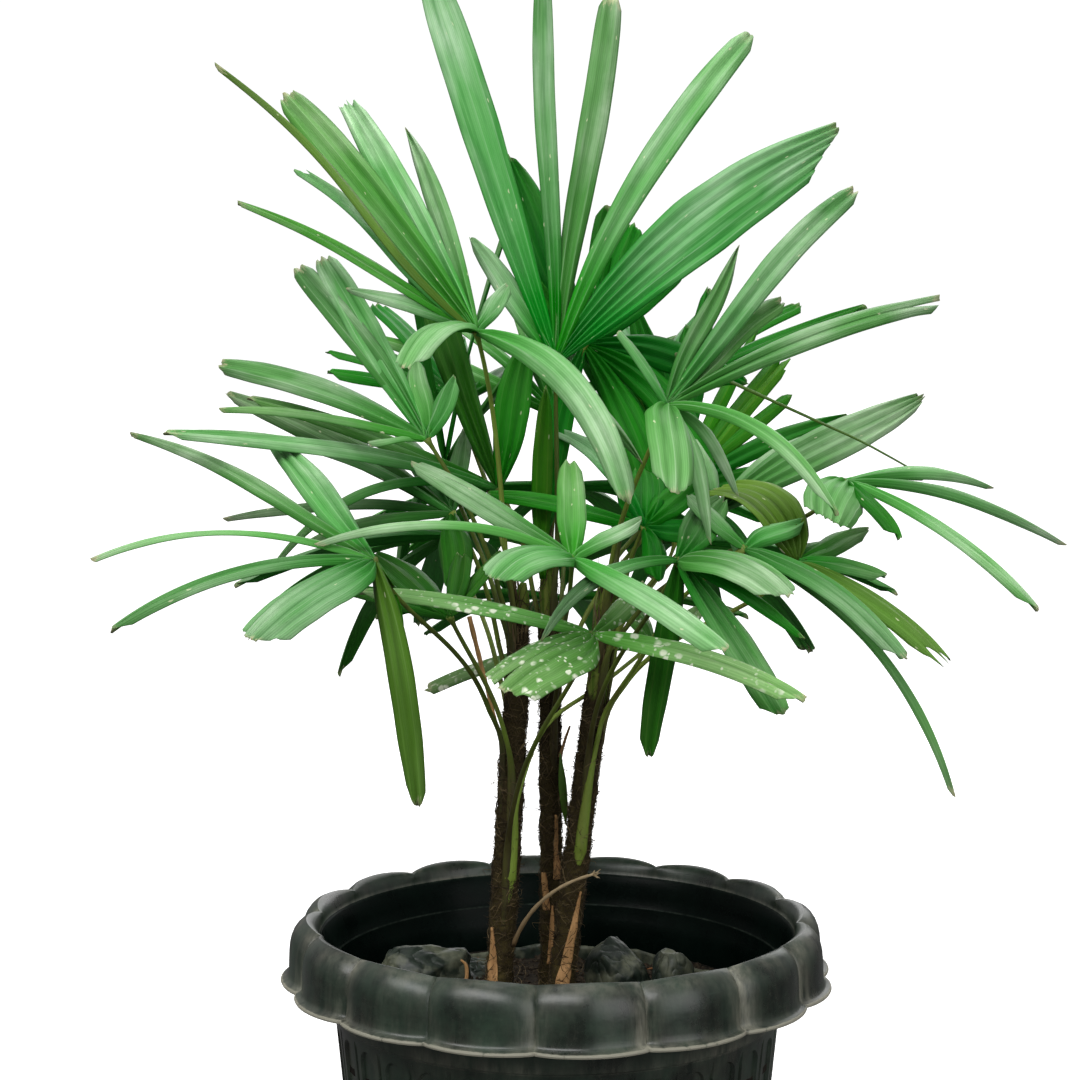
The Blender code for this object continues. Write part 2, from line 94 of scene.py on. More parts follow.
def facing(degreesRight, degreesUp):
    right, above = math.radians(degreesRight), math.radians(degreesUp)
    return Vector((math.sin(right) * math.cos(above), -math.cos(right) * math.cos(above), math.sin(above)))


def bezier(a, b, c, d, steps):
    curve = []
    for i in range(steps + 1):
        t = i / steps
        s = 1 - t
        curve.append(s**3 * a + 3 * s * s * t * b + 3 * s * t * t * c + t**3 * d)
    return curve


def smoothPath(stops, steps):  # a curve through all the stops
    ends = [2 * stops[0] - stops[1]] + stops + [2 * stops[-1] - stops[-2]]
    curve = []
    for i in range(steps + 1):
        at = i / steps * (len(stops) - 1)
        k = min(int(at), len(stops) - 2)
        t = at - k
        a, b, c, d = ends[k:k + 4]
        curve.append(0.5 * (2 * b + t * (c - a) + t * t * (2 * a - 5 * b + 4 * c - d) + t**3 * (3 * b - a - 3 * c + d)))
    return curve


def newHeap():  # many small shapes gathered into one mesh
    return {"points": [], "faces": [], "slots": [], "uv": [], "run": [], "shade": [], "under": []}


def addShape(heap, points, faces, slot=0, uv=None, run=None, shade=0.5, under=None):
    start = len(heap["points"])
    heap["points"].extend(points)
    heap["faces"].extend([tuple(start + i for i in face) for face in faces])
    heap["slots"].extend([slot] * len(faces))
    heap["uv"].extend(uv if uv is not None else [(0.0, 0.0)] * len(points))
    heap["run"].extend(run if run is not None else [0.5] * len(points))
    heap["shade"].extend([shade] * len(points))
    heap["under"].extend(under if under is not None else [0.0] * len(points))


def heapPiece(name, heap, materials, smooth=True):
    mesh = bpy.data.meshes.new(name)
    mesh.from_pydata([tuple(p) for p in heap["points"]], [], heap["faces"])
    mesh.polygons.foreach_set("material_index", heap["slots"])
    corners = np.empty(len(mesh.loops), dtype=np.int32)
    mesh.loops.foreach_get("vertex_index", corners)
    layer = mesh.uv_layers.new(name="blade")
    layer.data.foreach_set("uv", np.array(heap["uv"], dtype=np.float32)[corners].ravel())
    for key in ("run", "shade", "under"):
        paint(mesh, key, heap[key])
    for material in materials:
        mesh.materials.append(material)
    if smooth:
        mesh.shade_smooth()
    mesh.update()
    piece = bpy.data.objects.new(name, mesh)
    bpy.context.scene.collection.objects.link(piece)
    return piece


def ringFaces(rings, sides, closed=True):
    faces = []
    for ring in range(rings - 1):
        for side in range(sides):
            a = ring * sides + side
            b = ring * sides + (side + 1) % sides
            faces.append((a, b, b + sides, a + sides))
    if closed:
        faces.append(tuple(reversed(range(sides))))
        faces.append(tuple(range((rings - 1) * sides, rings * sides)))
    return faces


def addStrand(heap, path, radii, sides=3, slot=0, shade=0.5, flat=1.0, wide=None):
    # a tube along a path; flat squeezes it across the direction "wide"
    points, runs = [], []
    across = squareTo(wide or Vector((0.31, 0.83, 0.11)), (path[1] - path[0]).normalized())
    last = len(path) - 1
    for i, centre in enumerate(path):
        along = (path[min(i + 1, last)] - path[max(i - 1, 0)]).normalized()
        across = squareTo(wide or across, along)
        beside = along.cross(across)
        for side in range(sides):
            angle = 2 * math.pi * side / sides
            points.append(centre + radii[i] * (math.cos(angle) * across + flat * math.sin(angle) * beside))
            runs.append(i / last)
    addShape(heap, points, ringFaces(len(path), sides), slot, run=runs, shade=shade)


def settle(piece, slotName, *nodes):
    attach(piece, "root")
    if nodes:
        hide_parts(*nodes)
    return piece


def newMaterial(name, roughness=0.5, specular=0.5):
    material = bpy.data.materials.new(name)
    material.use_nodes = True
    shader = material.node_tree.nodes["Principled BSDF"]
    shader.inputs["Roughness"].default_value = roughness
    shader.inputs["Specular IOR Level"].default_value = specular
    return material, material.node_tree, shader


def node(tree, kind, **settings):
    made = tree.nodes.new(kind)
    for key, value in settings.items():
        setattr(made, key, value)
    return made


def fill(tree, socket, value):  # a number or a colour is set, anything else is linked
    if isinstance(value, tuple):
        socket.default_value = (*value, 1.0)
    elif isinstance(value, (int, float)):
        socket.default_value = value
    else:
        tree.links.new(value, socket)


def mathNode(tree, operation, *values, clamp=False):
    made = node(tree, "ShaderNodeMath", operation=operation, use_clamp=clamp)
    for socket, value in zip(made.inputs, values):
        fill(tree, socket, value)
    return made.outputs[0]


def times(tree, a, b, clamp=False):
    return mathNode(tree, "MULTIPLY", a, b, clamp=clamp)


def plus(tree, a, b, clamp=False):
    return mathNode(tree, "ADD", a, b, clamp=clamp)


def mixColour(tree, factor, a, b):
    made = node(tree, "ShaderNodeMix", data_type="RGBA")
    for socket, value in ((0, factor), (6, a), (7, b)):
        fill(tree, made.inputs[socket], value)
    return made.outputs[2]


def spread(tree, value, low, high, toLow=0.0, toHigh=1.0):
    made = node(tree, "ShaderNodeMapRange", clamp=True)
    tree.links.new(value, made.inputs[0])
    for i, number in enumerate((low, high, toLow, toHigh)):
        made.inputs[i + 1].default_value = number
    return made.outputs[0]


def stretched(tree, vector, scale):
    mapping = node(tree, "ShaderNodeMapping")
    mapping.inputs["Scale"].default_value = scale
    tree.links.new(vector, mapping.inputs["Vector"])
    return mapping.outputs[0]


def noiseAt(tree, vector, scale, detail=3.0, rough=0.55, stretch=None):
    if stretch:
        vector = stretched(tree, vector, stretch)
    made = node(tree, "ShaderNodeTexNoise")
    made.inputs["Scale"].default_value = scale
    made.inputs["Detail"].default_value = detail
    made.inputs["Roughness"].default_value = rough
    tree.links.new(vector, made.inputs["Vector"])
    return made.outputs["Fac"]


def objectPlace(tree):
    return node(tree, "ShaderNodeTexCoord").outputs["Object"]


def attribute(tree, name):
    return node(tree, "ShaderNodeAttribute", attribute_name=name).outputs["Fac"]


def shaded(tree, colour, shade, low, high):  # brightness by a piece's own shade
    made = node(tree, "ShaderNodeHueSaturation")
    tree.links.new(colour, made.inputs["Color"])
    tree.links.new(spread(tree, shade, 0, 1, low, high), made.inputs["Value"])
    return made


def addBump(tree, shader, height, distance, strength=1.0):
    made = node(tree, "ShaderNodeBump")
    made.inputs["Distance"].default_value = distance
    made.inputs["Strength"].default_value = strength
    tree.links.new(height, made.inputs["Height"])
    tree.links.new(made.outputs[0], shader.inputs["Normal"])


leafTones = {  # near the hub, the far half (paler, partly painted sheen), the waxy bloom with painted sheen, share of it, dryness of the tip, the underside (its own green, partly painted shade)
    "fresh": ((0.001, 0.235, 0.004), (0.165, 0.400, 0.140), (0.460, 0.640, 0.430), 0.90, 0.20, (0.017, 0.275, 0.012)),
    "sage": ((0.045, 0.245, 0.034), (0.125, 0.340, 0.100), (0.520, 0.680, 0.470), 0.85, 0.80, (0.026, 0.232, 0.017)),
    "mid": ((0.022, 0.225, 0.014), (0.090, 0.300, 0.055), (0.400, 0.560, 0.330), 0.60, 0.55, (0.017, 0.210, 0.012)),
    # deep: a darker green for leaves at the back and inside the plant, painted shade
    "deep": ((0.004, 0.185, 0.005), (0.012, 0.215, 0.008), (0.110, 0.320, 0.070), 0.40, 0.35, (0.009, 0.189, 0.006)),
    # lime: yellow-green for leaves with light through them, painted backlight
    "lime": ((0.034, 0.225, 0.006), (0.022, 0.200, 0.006), (0.240, 0.380, 0.060), 0.40, 0.30, (0.058, 0.232, 0.007)),
    "olive": ((0.078, 0.195, 0.016), (0.090, 0.215, 0.026), (0.260, 0.390, 0.130), 0.35, 0.60, (0.043, 0.160, 0.012)),
    "dusky": ((0.026, 0.150, 0.020), (0.075, 0.220, 0.055), (0.400, 0.520, 0.340), 0.75, 0.60, (0.017, 0.160, 0.012)),
    "spotted": ((0.080, 0.295, 0.042), (0.180, 0.410, 0.110), (0.460, 0.620, 0.350), 0.65, 0.85, (0.035, 0.217, 0.014)),
    # pale: the palest sage, for an upper face turned to the light, painted light
    "pale": ((0.055, 0.270, 0.042), (0.185, 0.420, 0.150), (0.560, 0.720, 0.500), 0.95, 0.50, (0.030, 0.240, 0.020)),
    "shaded": ((0.014, 0.110, 0.005), (0.020, 0.120, 0.007), (0.100, 0.200, 0.040), 0.25, 0.40, (0.012, 0.090, 0.004)),
    "curled": ((0.030, 0.080, 0.005), (0.125, 0.275, 0.022), (0.340, 0.500, 0.160), 0.35, 0.95, (0.058, 0.131, 0.009)),
}


def flecks(tree, uv, across, along, size, share):
    # small pale dashes, in the few cells that a share of the blade gets
    pulled = node(tree, "ShaderNodeTexNoise")
    pulled.inputs["Scale"].default_value = 3.1
    tree.links.new(uv, pulled.inputs["Vector"])
    wavy = mixColour(tree, 0.16, uv, pulled.outputs["Color"])
    cells = node(tree, "ShaderNodeTexVoronoi", feature="F1")
    cells.inputs["Scale"].default_value = 1.0
    tree.links.new(stretched(tree, wavy, (across, along, 1)), cells.inputs["Vector"])
    parts = node(tree, "ShaderNodeSeparateColor")
    tree.links.new(cells.outputs["Color"], parts.inputs[0])
    chosen = mathNode(tree, "GREATER_THAN", parts.outputs[0], 1 - share)
    return times(tree, chosen, spread(tree, cells.outputs["Distance"], size * 0.6, size, 1, 0))


def leafMaterial(name):
    base, far, bloomSheen, bloomSheenShare, dryness, below = leafTones[name]
    material, tree, shader = newMaterial("leaf_" + name, roughness=0.45, specular=0.08)
    uv = node(tree, "ShaderNodeUVMap", uv_map="blade").outputs[0]  # pleats across, centimetres along
    place = objectPlace(tree)
    parts = node(tree, "ShaderNodeSeparateXYZ")
    tree.links.new(uv, parts.inputs[0])
    run = attribute(tree, "run")
    shade = attribute(tree, "shade")
    under = attribute(tree, "under")
    # green, with long dark patches, paler towards the tip (partly painted sheen), and waxy bloom with painted sheen
    # that grows towards the tip
    patchy = spread(tree, noiseAt(tree, place, 14), 0.3, 0.7, -0.12, 0.12)
    paling = plus(tree, spread(tree, run, 0.14, 0.90), patchy, clamp=True)
    green = mixColour(tree, paling, base, far)
    dark = spread(tree, noiseAt(tree, uv, 1.0, 3, 0.55, stretch=(0.9, 0.08, 1)), 0.47, 0.60, 0, 0.50)
    green = mixColour(tree, dark, green, tuple(0.52 * c for c in base))
    streak = noiseAt(tree, uv, 1.0, 4, 0.65, stretch=(2.6, 0.14, 1))
    veil = noiseAt(tree, place, 20, 5, 0.6)
    bloomSheenNoise = noiseAt(tree, uv, 1.0, 2, 0.5, stretch=(0.30, 0.09, 3))
    waxySheen = times(tree, spread(tree, bloomSheenNoise, 0.40, 0.60), spread(tree, run, 0.16, 0.72, 0.02, 1))
    waxySheen = times(tree, waxySheen, spread(tree, veil, 0.34, 0.62, 0.35, 1))
    waxySheen = times(tree, waxySheen, spread(tree, streak, 0.30, 0.66, 0.35, 1))
    green = mixColour(tree, times(tree, waxySheen, bloomSheenShare), green, bloomSheen)
    # the fold: a pale rib on its ridge, a dark line of painted shade in its valley, fine veins between
    fold = mathNode(tree, "FRACT", parts.outputs[0])
    fromRib = mathNode(tree, "ABSOLUTE", mathNode(tree, "SUBTRACT", fold, 0.5))
    uneven = spread(tree, noiseAt(tree, uv, 1.0, 3, 0.6, stretch=(0.9, 0.12, 1)), 0.36, 0.66, 0.15, 1)
    rib = times(tree, spread(tree, fromRib, 0.015, 0.075, 1, 0), uneven)
    valleyShade = times(tree, spread(tree, fromRib, 0.34, 0.48), uneven)
    veins = mathNode(tree, "SINE", times(tree, parts.outputs[0], 2 * math.pi * 7))
    green = mixColour(tree, spread(tree, veins, -0.3, 1, 0, 0.16), green, tuple(0.45 * c for c in base))
    # painted shade along the fold's valley
    green = mixColour(tree, times(tree, valleyShade, 0.58), green, tuple(0.55 * c for c in base))
    green = mixColour(tree, times(tree, rib, 0.26), green, bloomSheen)
    # the underside takes its own green, partly painted shade on leaves seen from below
    green = mixColour(tree, times(tree, under, 0.85), green, below)
    brightness = shaded(tree, green, shade, 0.82, 1.28)
    hue = mathNode(tree, "FRACT", times(tree, shade, 7.3))
    tree.links.new(spread(tree, hue, 0, 1, 0.492, 0.506), brightness.inputs["Hue"])
    green = brightness.outputs[0]
    # pale dashes on the veins, and dry straw-coloured teeth at the tip
    small = flecks(tree, uv, 5.0, 1.6, 0.26, 0.030)
    green = mixColour(tree, times(tree, small, 0.7), green, (0.62, 0.66, 0.42))
    if name == "spotted":
        outer = spread(tree, noiseAt(tree, uv, 0.55, 2), 0.42, 0.56)
        big = times(tree, flecks(tree, uv, 2.7, 1.9, 0.50, 0.42), outer)
        inner = spread(tree, noiseAt(tree, uv, 0.8, 2), 0.46, 0.58)
        little = times(tree, flecks(tree, uv, 4.3, 4.6, 0.42, 0.34), inner)
        marks = mathNode(tree, "MAXIMUM", big, little)
        green = mixColour(tree, times(tree, marks, 0.9), green, (0.78, 0.84, 0.66))
    ragged = spread(tree, noiseAt(tree, uv, 1.6, 3, 0.7, stretch=(4, 1, 1)), 0.3, 0.7, -0.03, 0.03)
    tip = spread(tree, plus(tree, run, ragged), 0.955, 0.995)
    green = mixColour(tree, times(tree, tip, dryness, clamp=True), green, (0.58, 0.56, 0.34))
    rust = spread(tree, plus(tree, run, ragged), 0.990, 1.0)
    green = mixColour(tree, times(tree, rust, 0.30), green, (0.24, 0.14, 0.06))
    tree.links.new(green, shader.inputs["Base Color"])
    tree.links.new(spread(tree, veil, 0.3, 0.7, 0.34, 0.50), shader.inputs["Roughness"])
    relief = plus(tree, times(tree, veins, 0.35), times(tree, rib, 1.2))
    addBump(tree, shader, relief, 0.00016, 0.8)
    return material


def grownMaterial(name, low, high, fleck, roughness=0.6, grain=(90, 90, 6)):
    # stalks, sheaths and fibres: colour from foot to tip with lengthwise grain
    material, tree, shader = newMaterial(name, roughness=roughness, specular=0.3)
    place = objectPlace(tree)
    body = mixColour(tree, attribute(tree, "run"), low, high)
    grainy = noiseAt(tree, place, 1, 4, 0.65, stretch=grain)
    body = mixColour(tree, spread(tree, grainy, 0.42, 0.70, 0, 0.75), body, fleck)
    brightness = shaded(tree, body, attribute(tree, "shade"), 0.6, 1.4)
    tree.links.new(brightness.outputs[0], shader.inputs["Base Color"])
    addBump(tree, shader, grainy, 0.0003)
    return material


def barkMaterial():
    # brown net below, green and straw-coloured sheaths above its upper edge
    material, tree, shader = newMaterial("cane_bark", roughness=0.95, specular=0.2)
    place = objectPlace(tree)
    grainy = noiseAt(tree, place, 1, 4, 0.65, stretch=(70, 70, 240))
    brown = mixColour(tree, attribute(tree, "run"), (0.060, 0.046, 0.014), (0.028, 0.020, 0.008))
    brown = mixColour(tree, spread(tree, grainy, 0.42, 0.70, 0, 0.75), brown, (0.010, 0.007, 0.003))
    streaks = noiseAt(tree, place, 1, 3, 0.6, stretch=(340, 340, 7))
    green = mixColour(tree, spread(tree, streaks, 0.40, 0.62), (0.070, 0.125, 0.014), (0.165, 0.190, 0.040))
    green = mixColour(tree, spread(tree, streaks, 0.60, 0.72, 0, 0.7), green, (0.120, 0.070, 0.024))
    tree.links.new(mixColour(tree, attribute(tree, "green"), brown, green), shader.inputs["Base Color"])
    addBump(tree, shader, grainy, 0.0003)
    return material


def potMaterial(name, dark, light, dustAndHighlightColour, scuffed, specular):
    material, tree, shader = newMaterial(name, roughness=0.34, specular=specular)
    place = objectPlace(tree)
    # the run attribute holds dust, and painted highlight lines on the lip, the mouth's edge, the inside ledge and the
    # step under the rim
    dustAndHighlights = attribute(tree, "run")
    cloudy = noiseAt(tree, place, 24, 5, 0.62)
    fine = noiseAt(tree, place, 260, 4, 0.6)
    plastic = mixColour(tree, spread(tree, cloudy, 0.38, 0.66), dark, light)
    # dust lies in streaks, thick in some grooves and nearly gone from others
    streaky = noiseAt(tree, place, 1, 5, 0.68, stretch=(150, 150, 26))
    patches = spread(tree, noiseAt(tree, place, 30, 3, 0.5), 0.40, 0.58, 0.45, 1.15)
    patches = mathNode(tree, "MAXIMUM", patches, spread(tree, dustAndHighlights, 1.2, 2.0))
    amount = times(tree, dustAndHighlights, spread(tree, streaky, 0.34, 0.62, 0.15, 1.0))
    amount = times(tree, amount, patches, clamp=True)
    amount = plus(tree, amount, spread(tree, fine, 0.58, 0.80, 0, 0.05), clamp=True)
    coloured = mixColour(tree, amount, plastic, dustAndHighlightColour)
    scuffs = noiseAt(tree, place, 60, 5, 0.7, stretch=(1, 1, 3.5))
    coloured = mixColour(tree, spread(tree, scuffs, 0.58, 0.76, 0, scuffed), coloured, (0.068, 0.102, 0.076))
    tree.links.new(coloured, shader.inputs["Base Color"])
    rough = plus(tree, spread(tree, cloudy, 0.3, 0.7, 0.22, 0.36), times(tree, amount, 0.35), clamp=True)
    tree.links.new(rough, shader.inputs["Roughness"])
    addBump(tree, shader, plus(tree, fine, times(tree, scuffs, 0.6)), 0.00012, 0.6)
    return material


def soilMaterial(name, dark, light, scale=180, roughness=0.95):
    material, tree, shader = newMaterial(name, roughness=roughness, specular=0.2)
    place = objectPlace(tree)
    crumbs = noiseAt(tree, place, scale, 5, 0.7)
    patches = noiseAt(tree, place, 22, 3)
    body = mixColour(tree, spread(tree, crumbs, 0.35, 0.7), dark, light)
    body = mixColour(tree, spread(tree, patches, 0.4, 0.7, 0, 0.4), body, tuple(0.5 * c for c in dark))
    tree.links.new(body, shader.inputs["Base Color"])
    addBump(tree, shader, crumbs, 0.0012)
    return material


def filmMaterial():
    material, tree, shader = newMaterial("liner_film", roughness=0.45, specular=0.38)
    place = objectPlace(tree)
    patches = noiseAt(tree, place, 42, 4, 0.55)
    mottled = noiseAt(tree, place, 160, 4, 0.6)
    body = mixColour(tree, spread(tree, mottled, 0.35, 0.65), (0.008, 0.014, 0.010), (0.024, 0.035, 0.025))
    # khaki patches: dust, and painted sheen on the folds
    body = mixColour(tree, spread(tree, patches, 0.45, 0.60, 0, 0.80), body, (0.150, 0.160, 0.105))
    tree.links.new(body, shader.inputs["Base Color"])
    tree.links.new(spread(tree, patches, 0.4, 0.65, 0.34, 0.62), shader.inputs["Roughness"])
    addBump(tree, shader, plus(tree, patches, times(tree, mottled, 0.4)), 0.0004, 0.6)
    return material


leafLooks = {name: leafMaterial(name) for name in leafTones}
stalkLook = grownMaterial("petiole_green", (0.046, 0.036, 0.012), (0.155, 0.235, 0.030), (0.110, 0.115, 0.026), 0.5)
stemLook = grownMaterial("stem_green", (0.085, 0.180, 0.020), (0.060, 0.140, 0.020), (0.040, 0.085, 0.012), 0.5)
strawLook = grownMaterial("stalk_straw", (0.170, 0.110, 0.050), (0.400, 0.310, 0.180), (0.210, 0.150, 0.080), 0.75)
rustLook = grownMaterial("stalk_rust", (0.200, 0.085, 0.030), (0.380, 0.190, 0.080), (0.140, 0.055, 0.020), 0.7)
woodLook = grownMaterial("bare_wood", (0.500, 0.285, 0.120), (0.430, 0.240, 0.095), (0.220, 0.105, 0.040), 0.7,
                         (420, 420, 9))
barkLook = barkMaterial()
fibreLook = grownMaterial("fibre_dark", (0.060, 0.044, 0.018), (0.046, 0.030, 0.013), (0.016, 0.010, 0.005), 0.85)
tanFibreLook = grownMaterial("fibre_tan", (0.120, 0.088, 0.040), (0.190, 0.140, 0.070), (0.070, 0.048, 0.020), 0.8)
plasticLook = potMaterial("pot_plastic", dark=(0.0025, 0.0065, 0.0040), light=(0.0200, 0.0400, 0.0250),
                          dustAndHighlightColour=(0.270, 0.262, 0.205), scuffed=0.18, specular=0.5)
# the inside's near-black, barely shiny plastic is painted shade, darker than the outside
insideShadeLook = potMaterial("pot_inside_shaded", dark=(0.0006, 0.0030, 0.0020), light=(0.0020, 0.0065, 0.0045),
                         dustAndHighlightColour=(0.050, 0.066, 0.052), scuffed=0.0, specular=0.05)
earthLook = soilMaterial("potting_soil", (0.014, 0.011, 0.008), (0.050, 0.038, 0.025))
cloddyLook = soilMaterial("soil_crumbs", (0.022, 0.017, 0.012), (0.085, 0.062, 0.040), 300)
filmLook = filmMaterial()
print("materials ready")


pot = {
    "height": 0.300, "lobes": 16, "turn": math.radians(-4.8), "lobeDepth": 0.0070, "crestDip": 0.0034,
    "skirtDrop": 0.043, "bodyRadius": 0.1555, "baseRadius": 0.130, "wall": 0.0042, "floor": 0.006,
    "panelRadius": 9.0, "panelDepth": 2.0, "panelBottom": 0.062, "archCentre": 0.2195,  # radius and depths in mm
    "slotDepth": 1.6, "slotLow": 0.196, "slotHigh": 0.2265, "smoothAngle": math.radians(35),
    "grooveFloor": 0.2595, "grooveRadius": 0.1665,  # dust in the grooves starts above and outside these
    "insideRadius": 0.1632, "insideFloor": 0.005,
}
# Positions across half a lobe, in millimetres of a 30 mm strip that holds one arched panel
panelColumns = (-15, -13.9, -13.2, -11, -9, -8, -7.2, -6, -4.2, -2.2, 0, 2.2, 4.2, 6, 7.2, 8, 9, 11, 13.2, 13.9)


def lobeAt(angle):
    return abs(math.sin(pot["lobes"] * angle / 2)) ** 0.66


def outerRadius(height):
    top = pot["height"] - pot["skirtDrop"]
    return pot["baseRadius"] + (pot["bodyRadius"] - pot["baseRadius"]) * height / top


def wallRadius(height):
    return outerRadius(height) - pot["wall"]


def panelRows():
    # each row of the outer wall: height beside the panels, then height over the arch by column
    rows = [("plain", z) for z in (0.0, 0.003, 0.028, 0.046, 0.0485, 0.051, 0.0535, 0.057)]
    rows += [("bottom", 0.0), ("bottom", 1.0)]
    rows += [("side", share) for share in (0.04, 0.2, 0.36, 0.52, 0.68, 0.80, 0.80001, 0.86, 0.93, 1.0)]
    rows += [("archInner", 0), ("archOuter", 0), ("plain", 0.2315), ("plain", 0.2340), ("plain", 0.2352),
             ("plain", 0.2362), ("plain", 0.2376), ("plain", 0.2450), ("plain", 0.2570)]
    return rows


def wallPoint(kind, value, across):
    # height and inward offset of a point on the outer wall
    radius, centre, low = pot["panelRadius"], pot["archCentre"], pot["panelBottom"]
    side = abs(across)
    inPanel = side <= radius - 1
    inset = 0.0
    if kind == "plain":
        height = value
    elif kind == "bottom":
        height = low + value * mm
        inset = pot["panelDepth"] if value and inPanel else 0.0
    elif kind == "side":
        height = low + 0.001 + (centre - low - 0.001) * value
        inset = pot["panelDepth"] if inPanel else 0.0
    elif kind == "archInner":
        reach = math.sqrt(max(0.0, (radius - 1) ** 2 - side**2))
        height = centre + max(0.6, reach) * mm
        inset = pot["panelDepth"] if inPanel else 0.0
    else:
        reach = math.sqrt(max(0.0, radius**2 - side**2))
        height = centre + max(1.2, reach) * mm
    if side >= 13.9 and pot["slotLow"] < height < pot["slotHigh"]:  # the small slots between the arches
        inset = pot["slotDepth"]
    return height, inset * mm


def bandStep(height):
    # the raised bands of the foot and of the line under the rim
    step = 0.0
    if height < 0.047:
        step += 0.0016
    elif height < 0.0535:
        step += 0.0026 * math.sin(math.pi * (height - 0.047) / 0.0065)
    if height > 0.2358:
        step += 0.0011
    return step


rimProfile = (  # radius, height, share of the lobes, dust and painted highlight lines: from under the skirt over the crest to the inside
    (0.1575, 0.2595, 0, 0), (0.1600, 0.2640, 0, 0), (0.1640, 0.2740, 0, 0), (0.1665, 0.2860, 0, 0),
    (0.1690, 0.2890, 0.2, 0), (0.1740, 0.2900, 0.5, 0), (0.1780, 0.2880, 0.8, 0), (0.1798, 0.2840, 1, 0),
    (0.1800, 0.2720, 1, 0), (0.1800, 0.2590, 1, 0), (0.1806, 0.2568, 1, 0.1), (0.1880, 0.2566, 1, 0.4),
    # the lip's outer edge (3.0): dust and a bright painted highlight line
    (0.1896, 0.2572, 1, 3.0), (0.1901, 0.2583, 1, 3.0), (0.1898, 0.2592, 1, 3.0), (0.1886, 0.2598, 1, 0.35),
    (0.1866, 0.2604, 1, 0.20), (0.1854, 0.2614, 1, 0.16), (0.1848, 0.2632, 1, 0.10), (0.1845, 0.2664, 1, 0.05),
    (0.1843, 0.2720, 1, 0.03), (0.1841, 0.2780, 1, 0.03), (0.1836, 0.2835, 1, 0.04), (0.1826, 0.2880, 1.02, 0.06),
    (0.1809, 0.2922, 1.06, 0.12), (0.1785, 0.2957, 1.12, 0.22), (0.1757, 0.2983, 1.12, 0.24),
    (0.1724, 0.2997, 1.0, 0.16), (0.1694, 0.2990, 0.76, 0.12), (0.1668, 0.2966, 0.46, 0.10),
    # 0.45 at the mouth's inner edge: a thin painted highlight line
    (0.1650, 0.2935, 0.2, 0.10), (0.1640, 0.2905, 0.05, 0.12), (0.1632, 0.2880, 0, 0.45), (0.1625, 0.2871, 0, 0.10),
    (0.1619, 0.2862, 0, 0.02), (0.1600, 0.2800, 0, 0), (0.1582, 0.2744, 0, 0), (0.1566, 0.2664, 0, 0),
    # 0.60 on the inside ledge: a thin painted highlight line
    (0.1560, 0.2656, 0, 0.60), (0.1558, 0.2648, 0, 0.02), (0.1547, 0.2610, 0, 0), (0.1528, 0.2560, 0, 0),
)


def shapePotStrip(strip, rows, columns):
    # moves the points of a flat grid, rows by columns, onto one sixteenth of the pot
    half = 2 * math.pi / (2 * pot["lobes"])
    dustAndHighlights = []
    for point, (row, column) in zip(strip.vertices, [(r, c) for r in range(len(rows)) for c in range(columns + 1)]):
        panel, place = divmod(column, len(panelColumns))
        across = panelColumns[place]
        angle = (panel + (across + 15) / 30) * half
        radius, height, amount = rows[row](angle, across)
        point.co = (radius * math.sin(angle + pot["turn"]), -radius * math.cos(angle + pot["turn"]), height)
        dustAndHighlights.append(amount)
    return dustAndHighlights


def potRows():
    rows = []

    def outer(kind, value):
        # the body: bands, panels and slots
        def place(angle, across):
            height, inset = wallPoint(kind, value, across)
            # 0.30 paints a lighter highlight line on the step under the rim, 0.10 is light dust
            dustAndHighlights = 0.30 if 0.234 < height < 0.2378 else 0.10
            return outerRadius(height) + bandStep(height) - inset, height, dustAndHighlights
        return place

    def rim(radius, height, share, amount):
        def place(angle, across):
            lobe = lobeAt(angle)
            dip = pot["crestDip"] * (1 - lobe) * unit((height - 0.278) / 0.02) * min(1.0, share * 1.6)
            return radius - share * pot["lobeDepth"] * (1 - lobe), height - dip, amount + 0.02 * min(1.0, share)
        return place

    def flat(radius, height):
        return lambda angle, across: (radius, height, 0.0)

    rows += [flat(radius, 0.0) for radius in (0.0005, 0.06, 0.118)]
    rows += [outer(kind, value) for kind, value in panelRows()]
    rows += [rim(*entry) for entry in rimProfile]
    rows += [flat(wallRadius(z), z) for z in (0.2500, 0.2300, 0.20, 0.10, 0.012)]
    rows += [flat(radius, pot["floor"]) for radius in (wallRadius(0.006) - 0.002, 0.06, 0.0005)]
    return rows


# how dusty each groove of the rim is, just left and just right of it, from the front one towards +X
grooveDust = ((0.30, 0.16), (1.05, 0.35), (0.75, 1.05), (0.50, 0.65), (0.8, 0.3), (0.4, 0.9), (1.0, 0.5), (0.3, 0.5),
              (0.7, 0.9), (0.5, 0.2), (0.9, 0.6), (0.3, 0.8), (0.6, 0.4), (0.55, 0.30), (0.35, 0.95), (0.10, 0.28))


